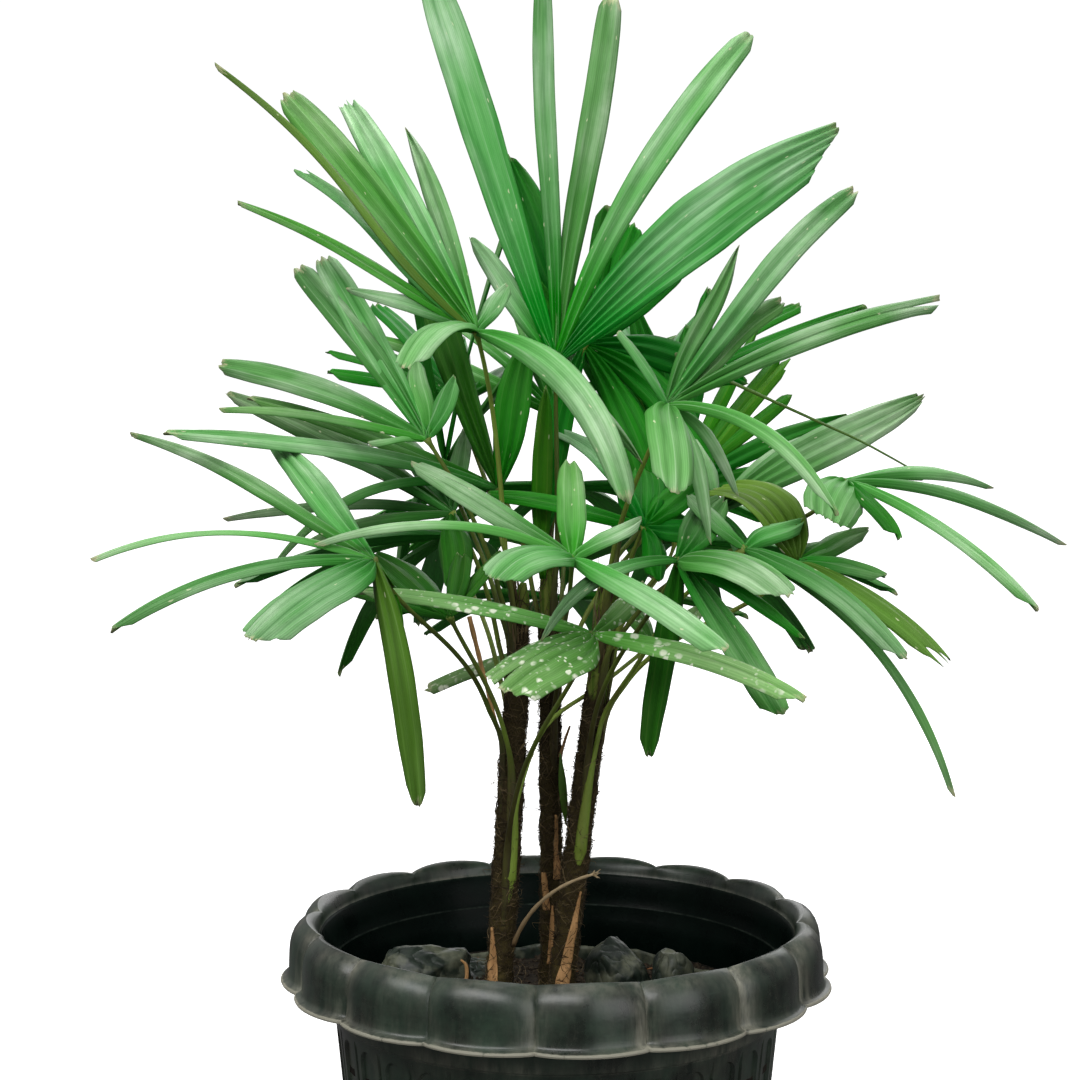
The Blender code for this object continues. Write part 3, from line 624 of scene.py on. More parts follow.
def buildPot():
    deselectAll()
    rows = potRows()
    columns = 2 * len(panelColumns)
    bpy.ops.mesh.primitive_grid_add(x_subdivisions=columns, y_subdivisions=len(rows) - 1, size=1)
    piece = namePiece("pot_body")
    paint(piece.data, "run", shapePotStrip(piece.data, rows, columns))
    startEditing()
    turn = 2 * math.pi / pot["lobes"]
    copies = pot["lobes"] - 1
    bpy.ops.mesh.spin(steps=copies, dupli=True, angle=turn * copies, center=(0, 0, 0), axis=(0, 0, 1))
    bpy.ops.mesh.select_all(action="SELECT")
    bpy.ops.mesh.remove_doubles(threshold=0.00005)
    faceOutward()
    bpy.ops.object.shade_smooth_by_angle(angle=pot["smoothAngle"])
    for point, value in zip(piece.data.vertices, piece.data.attributes["run"].data):
        if point.co.z > pot["grooveFloor"] and point.co.xy.length > pot["grooveRadius"]:
            angle = math.atan2(point.co.x, -point.co.y) - pot["turn"]
            number = round(angle / turn)
            amount = grooveDust[number % pot["lobes"]][int(angle > number * turn)]
            value.value += amount * max(0.0, 1 - 1.30 * lobeAt(angle)) ** 1.2
    piece.data.materials.append(plasticLook)
    piece.data.materials.append(insideShadeLook)
    for face in piece.data.polygons:  # the inside is nearly black: painted shade inside the pot
        middle = face.center
        wall = pot["insideRadius"] if middle.z > 0.2565 else wallRadius(middle.z) + 0.001
        face.material_index = int(middle.z > pot["insideFloor"] and middle.xy.length < wall)
    settle(piece, "pot", "pot")
    print("pot:", len(piece.data.polygons), "faces")


buildPot()


bed = {"sides": 120, "crumbs": 2600, "chips": 45, "linerRadius": 0.123, "linerHeight": 0.011}
folds = {  # x, y, length, depth, height, turn in degrees
    "film_fold_left": (-0.095, 0.028, 0.072, 0.050, 0.037, 8),
    "film_fold_right": (0.0435, 0.034, 0.048, 0.040, 0.039, -10),
    "film_fold_far_right": (0.082, 0.028, 0.033, 0.032, 0.032, 25),
    "film_fold_low": (-0.060, 0.078, 0.040, 0.030, 0.014, -25),
}


def soilHeight(x, y):
    bumps = 0.0022 * noise.noise(Vector((x * 60, y * 60, 1.7)))
    grains = 0.0011 * noise.noise(Vector((x * 190, y * 190, 5.1)))
    return soilLevel - 0.0012 + (bumps + grains)


def buildSoil():
    deselectAll()
    edge = wallRadius(soilLevel) - gap
    bpy.ops.mesh.primitive_circle_add(vertices=bed["sides"], radius=edge, fill_type="TRIFAN",
                                      location=(0, 0, soilLevel))
    piece = namePiece("soil_bed")
    bpy.ops.object.transform_apply(location=True)
    startEditing()
    bpy.ops.mesh.extrude_region_move(TRANSFORM_OT_translate={"value": (0, 0, -0.03)})
    bpy.ops.mesh.select_all(action="SELECT")
    bpy.ops.mesh.normals_make_consistent(inside=False)
    bpy.ops.mesh.select_all(action="DESELECT")
    bpy.ops.object.mode_set(mode="OBJECT")
    for face in piece.data.polygons:
        face.select = face.normal.z > 0.9
    bpy.ops.object.mode_set(mode="EDIT")
    bpy.ops.mesh.subdivide(number_cuts=5, quadcorner="STRAIGHT_CUT")
    bpy.ops.mesh.subdivide(number_cuts=2)
    bpy.ops.object.mode_set(mode="OBJECT")
    for point in piece.data.vertices:
        if point.co.z > soilLevel - 0.001 and point.co.xy.length < edge - 0.001:
            point.co.z = soilHeight(point.co.x, point.co.y)
    bpy.ops.object.shade_smooth()
    piece.data.materials.append(earthLook)
    settle(piece, "soil", "soil")
    print("soil:", len(piece.data.polygons), "faces")


def clodShape(rand, size):
    # a low-poly crumb
    points = [Vector((0, 0, 1)), Vector((0, 0, -1))]
    for i in range(5):
        angle = 2 * math.pi * i / 5
        points.append(Vector((math.cos(angle), math.sin(angle), rand.uniform(-0.3, 0.4))))
    points = [p * size * rand.uniform(0.7, 1.15) for p in points]
    faces = []
    for i in range(5):
        a, b = 2 + i, 2 + (i + 1) % 5
        faces += [(0, a, b), (1, b, a)]
    return points, faces


def buildCrumbs():
    rand = random.Random(11)
    heap = newHeap()
    for i in range(bed["crumbs"]):
        angle = anyAngle(rand)
        radius = (wallRadius(soilLevel) - 0.004) * math.sqrt(rand.random())
        x, y = radius * math.cos(angle), radius * math.sin(angle)
        size = rand.choice((0.0010, 0.0014, 0.0019, 0.0030))
        points, faces = clodShape(rand, size)
        spin = Matrix.Rotation(rand.uniform(0, 6.28), 3, "Z") @ Matrix.Rotation(rand.uniform(0, 6.28), 3, "X")
        centre = Vector((x, y, soilHeight(x, y) + size * 0.25))
        addShape(heap, [centre + spin @ p for p in points], faces, shade=rand.random())
    settle(heapPiece("soil_crumbs", heap, [cloddyLook], smooth=False), "soil")
    chips = newHeap()
    for i in range(bed["chips"]):
        angle = anyAngle(rand)
        radius = 0.12 * math.sqrt(rand.random())
        x, y = radius * math.cos(angle), radius * math.sin(angle)
        way = Vector((math.cos(angle * 7), math.sin(angle * 7), rand.uniform(-0.1, 0.25))).normalized()
        length = rand.uniform(0.006, 0.022)
        start = Vector((x, y, soilHeight(x, y) + 0.0012))
        bend = start + way * length * 0.5 + Vector((0, 0, rand.uniform(0, 0.002)))
        path = bezier(start, start.lerp(bend, 0.7), bend, start + way * length, 5)
        addStrand(chips, path, [0.0006, 0.0008, 0.0008, 0.0007, 0.0006, 0.0003], 4, shade=rand.random())
    settle(heapPiece("soil_chips", chips, [rustLook]), "soil")


def buildFold(name, x, y, length, depth, height, turn):
    # crumpled film: a lump of flat facets that meet in sharp creases
    deselectAll()
    bpy.ops.mesh.primitive_ico_sphere_add(subdivisions=6, radius=0.5, location=(0, 0, 0))
    piece = namePiece("crumpled_" + name)
    rand = random.Random(round(x * 1e4) + 77)
    spin = Matrix.Rotation(math.radians(turn), 3, "Z")
    facets = []
    for i in range(17):
        way = Vector((rand.gauss(0, 1), rand.gauss(0, 1), rand.gauss(0, 1))).normalized()
        facets.append((way, rand.uniform(0.34, 0.50)))
    seed = Vector((x, y, 0)) * 90
    places = []
    for point in piece.data.vertices:
        way = point.co.normalized()
        reaches = sorted(size / max(0.15, way.dot(normal)) for normal, size in facets)
        reach = min(0.55, 0.72 * reaches[0] + 0.28 * reaches[1])
        hollow = 0.060 * noise.noise(way * 1.7 + seed) - 0.022 * (1 - abs(noise.noise(way * 2.6 + seed))) ** 10
        fold = 0.009 * abs(noise.noise(way * 6 + seed))
        place = way * (reach + hollow + fold)
        place.z = max(place.z, -0.14)
        places.append(place)
    low = [min(p[i] for p in places) for i in range(3)]
    high = [max(p[i] for p in places) for i in range(3)]
    for point, place in zip(piece.data.vertices, places):
        share = [(place[i] - low[i]) / (high[i] - low[i]) for i in range(3)]
        spot = spin @ Vector(((share[0] - 0.5) * length, (share[1] - 0.5) * depth, share[2] * height))
        point.co = spot + Vector((x, y, soilLevel - 0.001))
    faceOutward()
    bpy.ops.object.shade_smooth_by_angle(angle=math.radians(24))
    piece.data.materials.append(filmLook)
    settle(piece, "film", name)


def buildLiner():
    # the torn top edge of the nursery bag, standing up round the root ball
    deselectAll()
    bpy.ops.mesh.primitive_cylinder_add(vertices=200, radius=bed["linerRadius"], depth=0.02, end_fill_type="NOTHING",
                                        location=(0, 0, soilLevel))
    piece = namePiece("liner_edge")
    bpy.ops.object.transform_apply(location=True)
    startEditing()
    bpy.ops.mesh.subdivide(number_cuts=4)
    bpy.ops.object.mode_set(mode="OBJECT")
    for point in piece.data.vertices:
        angle = math.atan2(point.co.y, point.co.x)
        way = flatWay(angle)
        high = (point.co.z - soilLevel + 0.01) / 0.02
        wave = noise.noise(way * 2.2) * 0.006 + noise.noise(way * 9) * 0.002
        lean = 0.003 * high * noise.noise(way * 5 + Vector((3, 1, 0)))
        top = bed["linerHeight"] * (0.75 + 0.5 * noise.noise(way * 4 + Vector((0, 7, 0))))
        radius = bed["linerRadius"] + wave + lean + 0.001 * noise.noise(way * 30 + Vector((0, 0, high * 3)))
        point.co = Vector((way.x * radius, way.y * radius, soilLevel - 0.006 + high * (0.006 + top)))
    solid = piece.modifiers.new("thickness", "SOLIDIFY")
    solid.thickness = 0.0006
    solid.offset = 0
    bpy.ops.object.modifier_apply(modifier="thickness")
    bpy.ops.object.shade_smooth()
    piece.data.materials.append(filmLook)
    settle(piece, "film")


buildSoil()
buildCrumbs()
for name, sizes in folds.items():
    buildFold(name, *sizes)
buildLiner()
print("soil, crumbs and film done")


canes = {  # foot x, y and top x, y, z, with the radius at half height
    "left": ((-0.041, -0.012), (-0.023, -0.014, 0.530), 0.0088),
    "middle": ((-0.003, 0.026), (-0.006, 0.022, 0.555), 0.0075),
    "right": ((0.001, -0.006), (0.036, -0.008, 0.535), 0.0086),
}
netTops = {"left": 0.500, "middle": 0.492, "right": 0.450}  # where the brown net ends
caneForm = {"flare": 1.28, "taper": 0.74, "sides": 72, "rings": 300, "sheathStep": 0.034, "sheathLift": 0.0011}
fibres = {"net": 900, "wraps": 420, "hairs": 1100, "loose": 40, "steps": 9, "sparse": 0.85}


def canePoint(cane, height):
    foot, top, radius = canes[cane]
    start = soilLevel + gap
    run = (height - start) / (top[2] - start)
    centre = Vector((foot[0] + (top[0] - foot[0]) * run, foot[1] + (top[1] - foot[1]) * run, height))
    flare = 1 + (caneForm["flare"] - 1) * max(0.0, 1 - run / 0.12) ** 2
    taper = 1 - (1 - caneForm["taper"]) * max(0.0, (run - 0.5) / 0.5)
    return centre, radius * flare * taper


def caneSkin(cane, height, angle):
    # the cane's surface with the overlapping edges of its sheaths
    centre, radius = canePoint(cane, height)
    seed = {"left": 1.3, "middle": 4.1, "right": 7.7}[cane]
    way = flatWay(angle)
    slant = 0.010 * math.sin(angle + seed) + 0.004 * math.sin(3 * angle + seed)
    step = ((height + slant + seed * 0.01) / caneForm["sheathStep"]) % 1.0
    if cane == "left":  # its bare top is slender
        radius *= 1 - 0.34 * unit((height - 0.482) / 0.024)
    lift = caneForm["sheathLift"] * step**1.5
    rough = 0.0007 * noise.noise(Vector((way.x * 3, way.y * 3, height * 60 + seed)))
    grain = 0.0004 * noise.noise(Vector((way.x * 9, way.y * 9, height * 420 + seed)))
    return centre + way * (radius - 0.0006 + lift + (rough + grain))


def buildCane(cane):
    # a flat grid rolled up into the cane, its seam welded and its ends closed
    deselectAll()
    bottom, top = soilLevel - 0.004, canes[cane][1][2]
    bpy.ops.mesh.primitive_grid_add(x_subdivisions=caneForm["sides"], y_subdivisions=caneForm["rings"], size=1)
    piece = namePiece("bark_" + cane)
    for point in piece.data.vertices:
        height = bottom + (top - bottom) * (point.co.y + 0.5)
        close = max(0.0, 1 - (top - height) / 0.014)
        point.co = caneSkin(cane, height, 2 * math.pi * point.co.x).lerp(canePoint(cane, height)[0], 0.5 * close**2)
    startEditing()
    bpy.ops.mesh.remove_doubles(threshold=0.00002)
    bpy.ops.mesh.fill_holes(sides=0)
    bpy.ops.mesh.select_all(action="SELECT")
    bpy.ops.mesh.normals_make_consistent(inside=False)
    bpy.ops.object.mode_set(mode="OBJECT")
    runs, greens = [], []
    for point in piece.data.vertices:
        runs.append((point.co.z - bottom) / (top - bottom))
        edge = netTops[cane] + 0.011 * noise.noise(Vector((point.co.x * 190, point.co.y * 190, 3.3)))
        greens.append(unit((point.co.z - edge) / 0.004))
    paint(piece.data, "run", runs)
    paint(piece.data, "green", greens)
    bpy.ops.object.shade_smooth()
    piece.data.materials.append(barkLook)
    settle(piece, "cane", "cane_" + cane)


def buildFibres(cane, seed):
    rand = random.Random(seed)
    heap = newHeap()
    bottom, top, steps = soilLevel, canes[cane][1][2], fibres["steps"]
    for i in range(fibres["net"] + fibres["wraps"]):
        wrap = i >= fibres["net"]
        steep = rand.uniform(0.0, 0.25) if wrap else rand.uniform(0.5, 2.2)
        steep *= rand.choice((-1, 1))
        turn = rand.uniform(0.7, 2.8) if wrap else rand.uniform(0.5, 1.5)
        angle = anyAngle(rand)
        height = rand.uniform(bottom, top - 0.01)
        if height > netTops[cane] and rand.random() < fibres["sparse"]:
            continue
        lift = rand.uniform(0.0001, 0.0011)
        path = []
        for j in range(steps + 1):
            a = angle + turn * j / steps
            z = height + steep * turn * j / steps * 0.009 + 0.0006 * math.sin(j * 1.3 + i)
            z = min(max(z, bottom), top)
            skin = caneSkin(cane, z, a)
            out = flatWay(a)
            path.append(skin + out * (lift + 0.0004 * math.sin(j * 0.9 + i * 2.1)))
        thick = rand.uniform(0.00014, 0.00034)
        radii = [thick * (1 - 0.5 * abs(2 * j / steps - 1)) for j in range(steps + 1)]
        tan = rand.random() < (0.30 if wrap else 0.16)
        addStrand(heap, path, radii, 3, slot=1 if tan else 0, shade=rand.random())
    for i in range(fibres["hairs"]):
        angle = anyAngle(rand)
        height = rand.uniform(bottom + 0.004, top - 0.02)
        if height > netTops[cane] and rand.random() < fibres["sparse"]:
            continue
        skin, out = caneSkin(cane, height, angle), flatWay(angle)
        side = Vector((-out.y, out.x, 0)) * rand.uniform(-0.9, 0.9) + up * rand.uniform(-0.4, 1.0)
        reach = rand.choice((0.0016, 0.0024, 0.0034, 0.005))
        bend = skin + out * reach * 0.7 + side * reach * 0.3
        tip = bend + (out * 0.3 + side * rand.uniform(0.3, 1.0)) * reach * 0.6
        path = bezier(skin - out * 0.0004, skin.lerp(bend, 0.6), bend, tip, 4)
        thick = rand.uniform(0.00012, 0.00026)
        addStrand(heap, path, [thick, thick, thick * 0.9, thick * 0.7, thick * 0.3], 3, slot=0, shade=rand.random())
    for i in range(fibres["loose"]):
        angle = anyAngle(rand)
        height = rand.uniform(bottom + 0.01, top - 0.03)
        skin, out = caneSkin(cane, height, angle), flatWay(angle)
        side = Vector((-out.y, out.x, 0)) * rand.choice((-1, 1))
        reach = rand.uniform(0.006, 0.014)
        bend = skin + out * reach * 0.5 + side * reach
        path = bezier(skin, skin + out * reach * 0.6, bend, skin + side * reach * 1.1 - up * reach * 0.6, 8)
        addStrand(heap, path, [0.0002] * 7 + [0.00015, 0.00008], 3, slot=1, shade=rand.random())
    settle(heapPiece("fibres_" + cane, heap, [fibreLook, tanFibreLook]), "cane")


for number, cane in enumerate(canes):
    buildCane(cane)
    buildFibres(cane, 31 + number)
print("canes done")


# The fronds take the places of their CAD nodes, as the solids do, with pleated blades.
petiole = {"radius": 0.0022, "steps": 30, "sides": 8, "hub": 0.0030, "seen": 0.0017}
usualSheath = {"below": 0.035, "above": 0.045, "wide": 0.0036, "green": 0.0}
sheaths = {  # how far the clasping part reaches below and above the stalk's foot, half width, how green it is
    "low_right": {"below": 0.020, "above": 0.085, "wide": 0.0056, "green": 0.88},
    "right_long": {"below": 0.010, "above": 0.095, "wide": 0.0050, "green": 0.95},
    "front_low": {"below": 0.040, "above": 0.050, "wide": 0.0036, "green": 0.0, "turns": 0.125},
    "front_right": {**usualSheath, "turns": 0.085},
    "front": {**usualSheath, "turns": 0.070},
}
routes = {  # stalks that keep close to their cane before they part from it
    "low_right": ((-0.0313, -0.0238, 0.3290), (-0.0290, -0.0238, 0.3560), (-0.0266, -0.0236, 0.3851),
                  (-0.0083, -0.0130, 0.4312), (0.0302, 0.0060, 0.4571)),
    "right_long": ((0.0163, -0.0165, 0.3460), (0.0187, -0.0166, 0.3690), (0.0223, -0.0168, 0.3955),
                   (0.0277, -0.0172, 0.4244), (0.0336, -0.0200, 0.4448), (0.0520, -0.0450, 0.4777),
                   (0.0788, -0.0800, 0.5258)),
}
blade = {"pleat": 0.0085, "root": 0.0045, "stations": 34, "perPleat": 6, "thick": 0.00042, "foldSlack": 1.085,
         "deepest": 0.0034}
archUpright, archHanging = 0.02, 0.16
mostLean = math.radians(62)
leanTries = (0, 4, -4, 8, -8, 12, -12, 16, -16, 20, -20, 25, -25, 30, -30, 36, -36)
footTries = (0, 18, -18, 36, -36, 54, -54, 75, -75, 100, -100, 130, -130, 160, -160)
footShifts = (0.0, 0.014, -0.014, 0.028, -0.028)


leafSettings = {"lean": None, "roll": 0, "arch": None, "tone": None, "split": None, "sway": 0, "lift": 0, "trim": 1,
                "extra": False}


def leaf(clock, reach, pleats, tip, **settings):
    # degrees from upright as the camera sees it, length in millimetres, folds, kind of tip
    return {"clock": clock, "reach": reach, "pleats": pleats, "tip": tip, **leafSettings, **settings}


fanKinds = ((2, "taper"), (1.6, "point"), (2.6, "cut"), (2.2, "taper"), (1.5, "broad"), (2.4, "taper"), (1.8, "cut"))


def fan(middle, spreadAngle, count, length, trims=()):
    leaflets = []
    for i in range(count):
        offMiddle = 2 * i / (count - 1) - 1
        leaflets.append(leaf(0, length * (1 - 0.16 * abs(offMiddle)), *fanKinds[i], trim=dict(trims).get(i, 1),
                             turn=middle + offMiddle * spreadAngle / 2))
    return leaflets


def frond(tone, cane, foot, hub, face, longest, leaflets):
    return {"tone": tone, "cane": cane, "foot": foot * mm, "hub": Vector(hub) * mm, "face": facing(*face),
            "longest": longest, "leaflets": leaflets}


fronds = {
    "crown": frond("fresh", "middle", 505, (-1, 0, 679), (0, 22), 290, [
        leaf(-18, 280, 3.3, "smooth", arch=0), leaf(-2, 275, 1.8, "smooth", arch=0),
        leaf(9, 265, 2.4, "smooth", arch=0.01, tone="sage"), leaf(31, 270, 2.5, "smooth", arch=0.07),
        leaf(52, 255, 5.6, "slant", arch=0.05), leaf(-35, 105, 2, "taper")]),
    "upper_left": frond("sage", "left", 500, (-53, -70, 699), (-30, 45), 270, [
        leaf(-40, 220, 3, "broad", tone="mid"), leaf(-31, 200, 2.8, "ragged"), leaf(-21, 160, 1.8, "point", arch=0.08),
        leaf(-45, 255, 1.2, "point", roll=40, tone="olive", sway=-0.0075),
        leaf(-49, 185, 1.9, "ragged", roll=30, sway=-0.004), leaf(-62, 200, 1.5, "point", roll=20, tone="mid"),
        leaf(-72, 95, 1.6, "point"), leaf(-120, 50, 3.4, "oval", lean=55, arch=0.32),
        leaf(35, 38, 2, "taper", lean=-50), leaf(139, 142, 2.4, "even", lean=32, arch=0.14, lift=0.07),
        leaf(129, 135, 1.5, "point", lean=16)]),
    "left": frond("sage", "left", 480, (-86, -50, 629), (-25, 40), 240, [
        leaf(-40, 155, 2.2, "cut"), leaf(-34, 150, 2.6, "cut"), leaf(-72, 160, 2.2, "cut"),
        leaf(-84, 150, 1.4, "point", roll=30, tone="mid"), leaf(-97, 40, 1, "point", roll=30),
        leaf(-12, 55, 2, "taper"), leaf(26, 45, 2, "taper")]),
    "left_dark": frond("dusky", "left", 445, (-72, 10, 576), (-40, 50), 230, [
        leaf(-65, 190, 2.5, "taper"), leaf(-95, 175, 1.4, "point"), leaf(-104, 110, 1.4, "point"),
        leaf(178, 50, 3, "taper", lean=45, tone="shaded"), leaf(7, 55, 2, "taper"), leaf(-42, 70, 2, "taper"),
        leaf(-75, 200, 1.2, "point", arch=0.08, tone="sage", extra=True)]),
    "lower_left": frond("sage", "left", 405, (-114, -150, 559), (-20, 60), 270, [
        leaf(-121, 78, 4.8, "oval", lean=45), leaf(-105, 165, 1.7, "taper", arch=0.1),
        leaf(-92, 185, 1, "point", roll=25, arch=0.1), leaf(-69, 195, 1.6, "point", arch=0.05),
        leaf(-50, 108, 2.6, "taper", arch=0.03), leaf(169, 150, 1.9, "even", lean=15, arch=0.08, tone="olive"),
        leaf(173, 70, 1.8, "taper", lean=-20, tone="lime")]),
    "upright_left": frond("lime", "middle", 480, (-41, 34, 591), (0, 30), 260, [
        leaf(-20, 165, 3, "broad", arch=0, tone="shaded", trim=1.34), leaf(11, 105, 3, "taper", tone="deep"),
        leaf(-71, 190, 2, "taper", roll=25, tone="mid"), leaf(-81, 240, 2.2, "taper", roll=25, tone="sage"),
        leaf(-110, 165, 1.2, "point", roll=20, arch=0.2, tone="mid")]),
    "upper_right": frond("sage", "right", 500, (69, -100, 653), (20, 40), 270, [
        leaf(-33, 55, 1, "cut"), leaf(28, 118, 1.6, "point", tone="dusky"), leaf(44, 205, 2.2, "broad", arch=0.04),
        leaf(71, 210, 2, "cut", arch=0.045, split=(1, 0.02, 0.86)), leaf(124, 122, 1.6, "taper", lean=25, arch=0.18),
        leaf(-178, 52, 3.4, "oval", lean=60, arch=0.25), leaf(143, 75, 1.3, "point", lean=-8),
        leaf(164, 90, 1.4, "point", lean=20), leaf(51, 108, 2, "cut", lean=-45, tone="dusky")]),
    "centre": frond("deep", "right", 440, (58, -30, 569), (0, 55), 240, [
        leaf(-79, 110, 2, "taper"), leaf(-48, 92, 2, "point", arch=0.2, tone="fresh"), leaf(-3, 36, 4, "broad"),
        leaf(55, 50, 3, "taper"), leaf(97, 45, 3, "taper"), leaf(165, 35, 2, "taper", lean=45)]),
    "front": frond("sage", "middle", 420, (8, -160, 561), (0, 65), 250, [
        leaf(-100, 48, 4, "oval", lean=52, arch=0.25), leaf(117, 98, 2.5, "even", arch=0.05),
        leaf(-88, 158, 1.2, "point", arch=0.12), leaf(-64, 118, 2.6, "taper"), leaf(0, 54, 2.2, "even", tone="mid"),
        leaf(66, 50, 1.8, "taper")]),
    "front_low": frond("spotted", "left", 330, (21, -150, 513), (0, 62), 240, [
        leaf(-112, 62, 5.4, "oval", lean=50, split=(3, 0.045, 0.70)), leaf(-82, 150, 2, "taper"),
        leaf(105, 128, 2.4, "even"), leaf(54, 45, 2, "taper")]),
    "low_dark": frond("shaded", "left", 385, (-70, -80, 515), (-50, 60), 230, [
        leaf(-64, 68, 3, "taper"), leaf(-86, 82, 2, "taper"), leaf(42, 50, 2, "taper"), leaf(10, 36, 2, "cut")]),
    "front_right": frond("mid", "right", 395, (74, -140, 558), (10, 60), 240, [
        leaf(105, 63, 4, "oval", lean=48, arch=0.2, tone="sage"),
        leaf(-120, 97, 1.5, "point", lean=15, arch=0.2, tone="sage"), leaf(121, 82, 1.4, "point", tone="deep"),
        leaf(146, 114, 3, "cut", lean=12, arch=0.03), leaf(-173, 130, 1.9, "even", lean=-8, arch=0.02, tone="shaded"),
        leaf(44, 48, 3, "taper")]),
    "low_right": frond("spotted", "left", 290, (66, 28, 482), (0, 60), 240, [
        leaf(-103, 165, 2, "cut", lean=-14), leaf(-35, 42, 2, "taper"), leaf(59, 45, 2, "taper")]),
    "right": frond("mid", "right", 420, (153, -90, 552), (30, 55), 240, [
        leaf(-50, 66, 5, "oval", arch=0.3, tone="curled"), leaf(101, 62, 2, "taper"),
        leaf(126, 114, 2.6, "ragged", tone="olive"), leaf(73, 34, 2, "taper"), leaf(75, 58, 2, "taper")]),
    "right_long": frond("sage", "right", 375, (117, -120, 563), (30, 55), 270, [
        leaf(124, 114, 2.6, "even"), leaf(140, 205, 1.2, "point", lean=2, arch=0.12), leaf(-49, 48, 2, "taper"),
        leaf(71, 44, 2, "taper")]),
    "far_right": frond("sage", "right", 465, (189, -60, 602), (40, 55), 250, [
        leaf(-140, 30, 4.6, "oval", lean=62, arch=0.2), leaf(107, 160, 1.3, "point", roll=20, arch=0.08),
        leaf(96, 110, 1.3, "point", roll=20, arch=0.1), leaf(125, 140, 1.8, "taper", arch=0.08),
        leaf(142, 45, 2, "taper", tone="deep"), leaf(91, 60, 1, "point")]),
    "right_wide": frond("sage", "right", 455, (103, -50, 581), (30, 40), 240, [
        leaf(66, 180, 3.5, "taper", arch=0.02, tone="pale"), leaf(58, 88, 2, "taper"), leaf(-17, 52, 3, "taper"),
        leaf(153, 62, 2, "taper", lean=20)]),
    "right_back": frond("lime", "middle", 450, (87, 60, 587), (20, 30), 240, [
        leaf(29, 140, 1.3, "point"), leaf(40, 125, 1.3, "cut"), leaf(44, 136, 1.3, "ragged"), leaf(53, 110, 1.3, "cut"),
        leaf(68, 140, 1.8, "taper", tone="deep"), leaf(-14, 82, 3, "taper", tone="deep"),
        leaf(5, 120, 2.4, "taper", tone="deep", extra=True), leaf(-34, 130, 3, "taper", tone="deep", extra=True),
        leaf(84, 96, 2, "taper", tone="deep", extra=True), leaf(-13, 140, 3, "taper", tone="deep", extra=True),
        leaf(10, 150, 2.4, "taper", tone="deep", extra=True), leaf(-24, 105, 3, "taper", tone="lime", extra=True)]),
    "crown_back": frond("deep", "middle", 525, (20, 80, 690), (0, 20), 250, [
        leaf(-22, 150, 3, "taper"), leaf(11, 103, 2, "smooth"), leaf(23, 96, 3, "cut"), leaf(52, 98, 3, "taper"),
        leaf(-40, 80, 2, "taper"), leaf(104, 120, 3, "taper", extra=True), leaf(136, 130, 3, "taper", extra=True),
        leaf(160, 150, 3, "taper", extra=True), leaf(-168, 140, 2.6, "taper", extra=True)]),
    "side_left": frond("mid", "left", 470, (-80, 85, 605), (-95, 30), 250, fan(-125, 150, 6, 200)),
    "side_right": frond("mid", "right", 470, (95, 95, 600), (95, 30), 250, fan(125, 150, 6, 200, trims=((5, 0.55),))),
    "back_high": frond("mid", "middle", 540, (0, 120, 640), (0, 62), 250, fan(180, 100, 6, 225)),
    "back_left_high": frond("deep", "left", 515, (-70, 115, 650), (35, 68), 250,
        fan(180, 110, 6, 205, trims=((3, 0.66), (4, 0.62), (5, 0.58)))),
    "back_right_high": frond("deep", "right", 520, (70, 125, 650), (-30, 68), 250, fan(180, 110, 6, 205)),
    "back_left": frond("sage", "left", 425, (-75, 140, 550), (205, 62), 250, fan(0, 120, 6, 205)),
    "back": frond("mid", "middle", 430, (10, 165, 585), (180, 62), 250, fan(0, 130, 7, 215)),
    "back_right": frond("sage", "right", 430, (90, 150, 545), (150, 62), 250, fan(0, 120, 6, 205)),
    "back_low": frond("mid", "middle", 390, (5, 120, 505), (180, 70), 250, fan(0, 130, 6, 190)),
}

# Each kind of tip: depth of the teeth, how far the corners draw back, slant, share of the full width by run
tips = {
    "broad": (0.0042, 0.012, 0, ((0.1, 0.34), (0.22, 0.63), (0.38, 0.88), (0.55, 1), (0.75, 0.97), (0.9, 0.85),
              (1, 0.68))),
    "cut": (0.0026, 0.008, 0.002, ((0.1, 0.34), (0.22, 0.63), (0.38, 0.9), (0.55, 1), (0.82, 0.93), (0.94, 0.80),
              (1, 0.62))),
    "oval": (0.0030, 0.014, 0.001, ((0.05, 0.34), (0.13, 0.70), (0.26, 0.93), (0.42, 1), (0.64, 0.99), (0.84, 0.88),
              (1, 0.64))),
    "even": (0.0022, 0.010, 0.002, ((0.08, 0.40), (0.18, 0.76), (0.32, 0.97), (0.5, 1), (0.74, 0.95), (0.9, 0.78),
              (1, 0.55))),
    "taper": (0.0016, 0.014, 0.002, ((0.1, 0.34), (0.22, 0.63), (0.36, 0.90), (0.5, 1), (0.65, 0.95), (0.8, 0.76),
              (0.92, 0.50), (1, 0.26))),
    "smooth": (0.0003, 0.0125, 0, ((0.1, 0.32), (0.25, 0.60), (0.42, 0.86), (0.6, 1), (0.78, 0.99), (0.9, 0.90),
              (0.97, 0.78), (1, 0.66))),
    "ragged": (0.0120, 0.006, 0.006, ((0.1, 0.34), (0.22, 0.63), (0.36, 0.90), (0.5, 1), (0.68, 0.94), (0.84, 0.78),
              (1, 0.52))),
    "slant": (0.0030, 0.006, 0.028, ((0.1, 0.34), (0.22, 0.62), (0.38, 0.90), (0.52, 1), (0.70, 0.93), (0.86, 0.74),
              (1, 0.50))),
    "point": (0.0006, 0.004, 0, ((0.1, 0.36), (0.22, 0.66), (0.42, 1), (0.6, 0.92), (0.78, 0.66), (0.92, 0.32),
              (1, 0.07))),
}


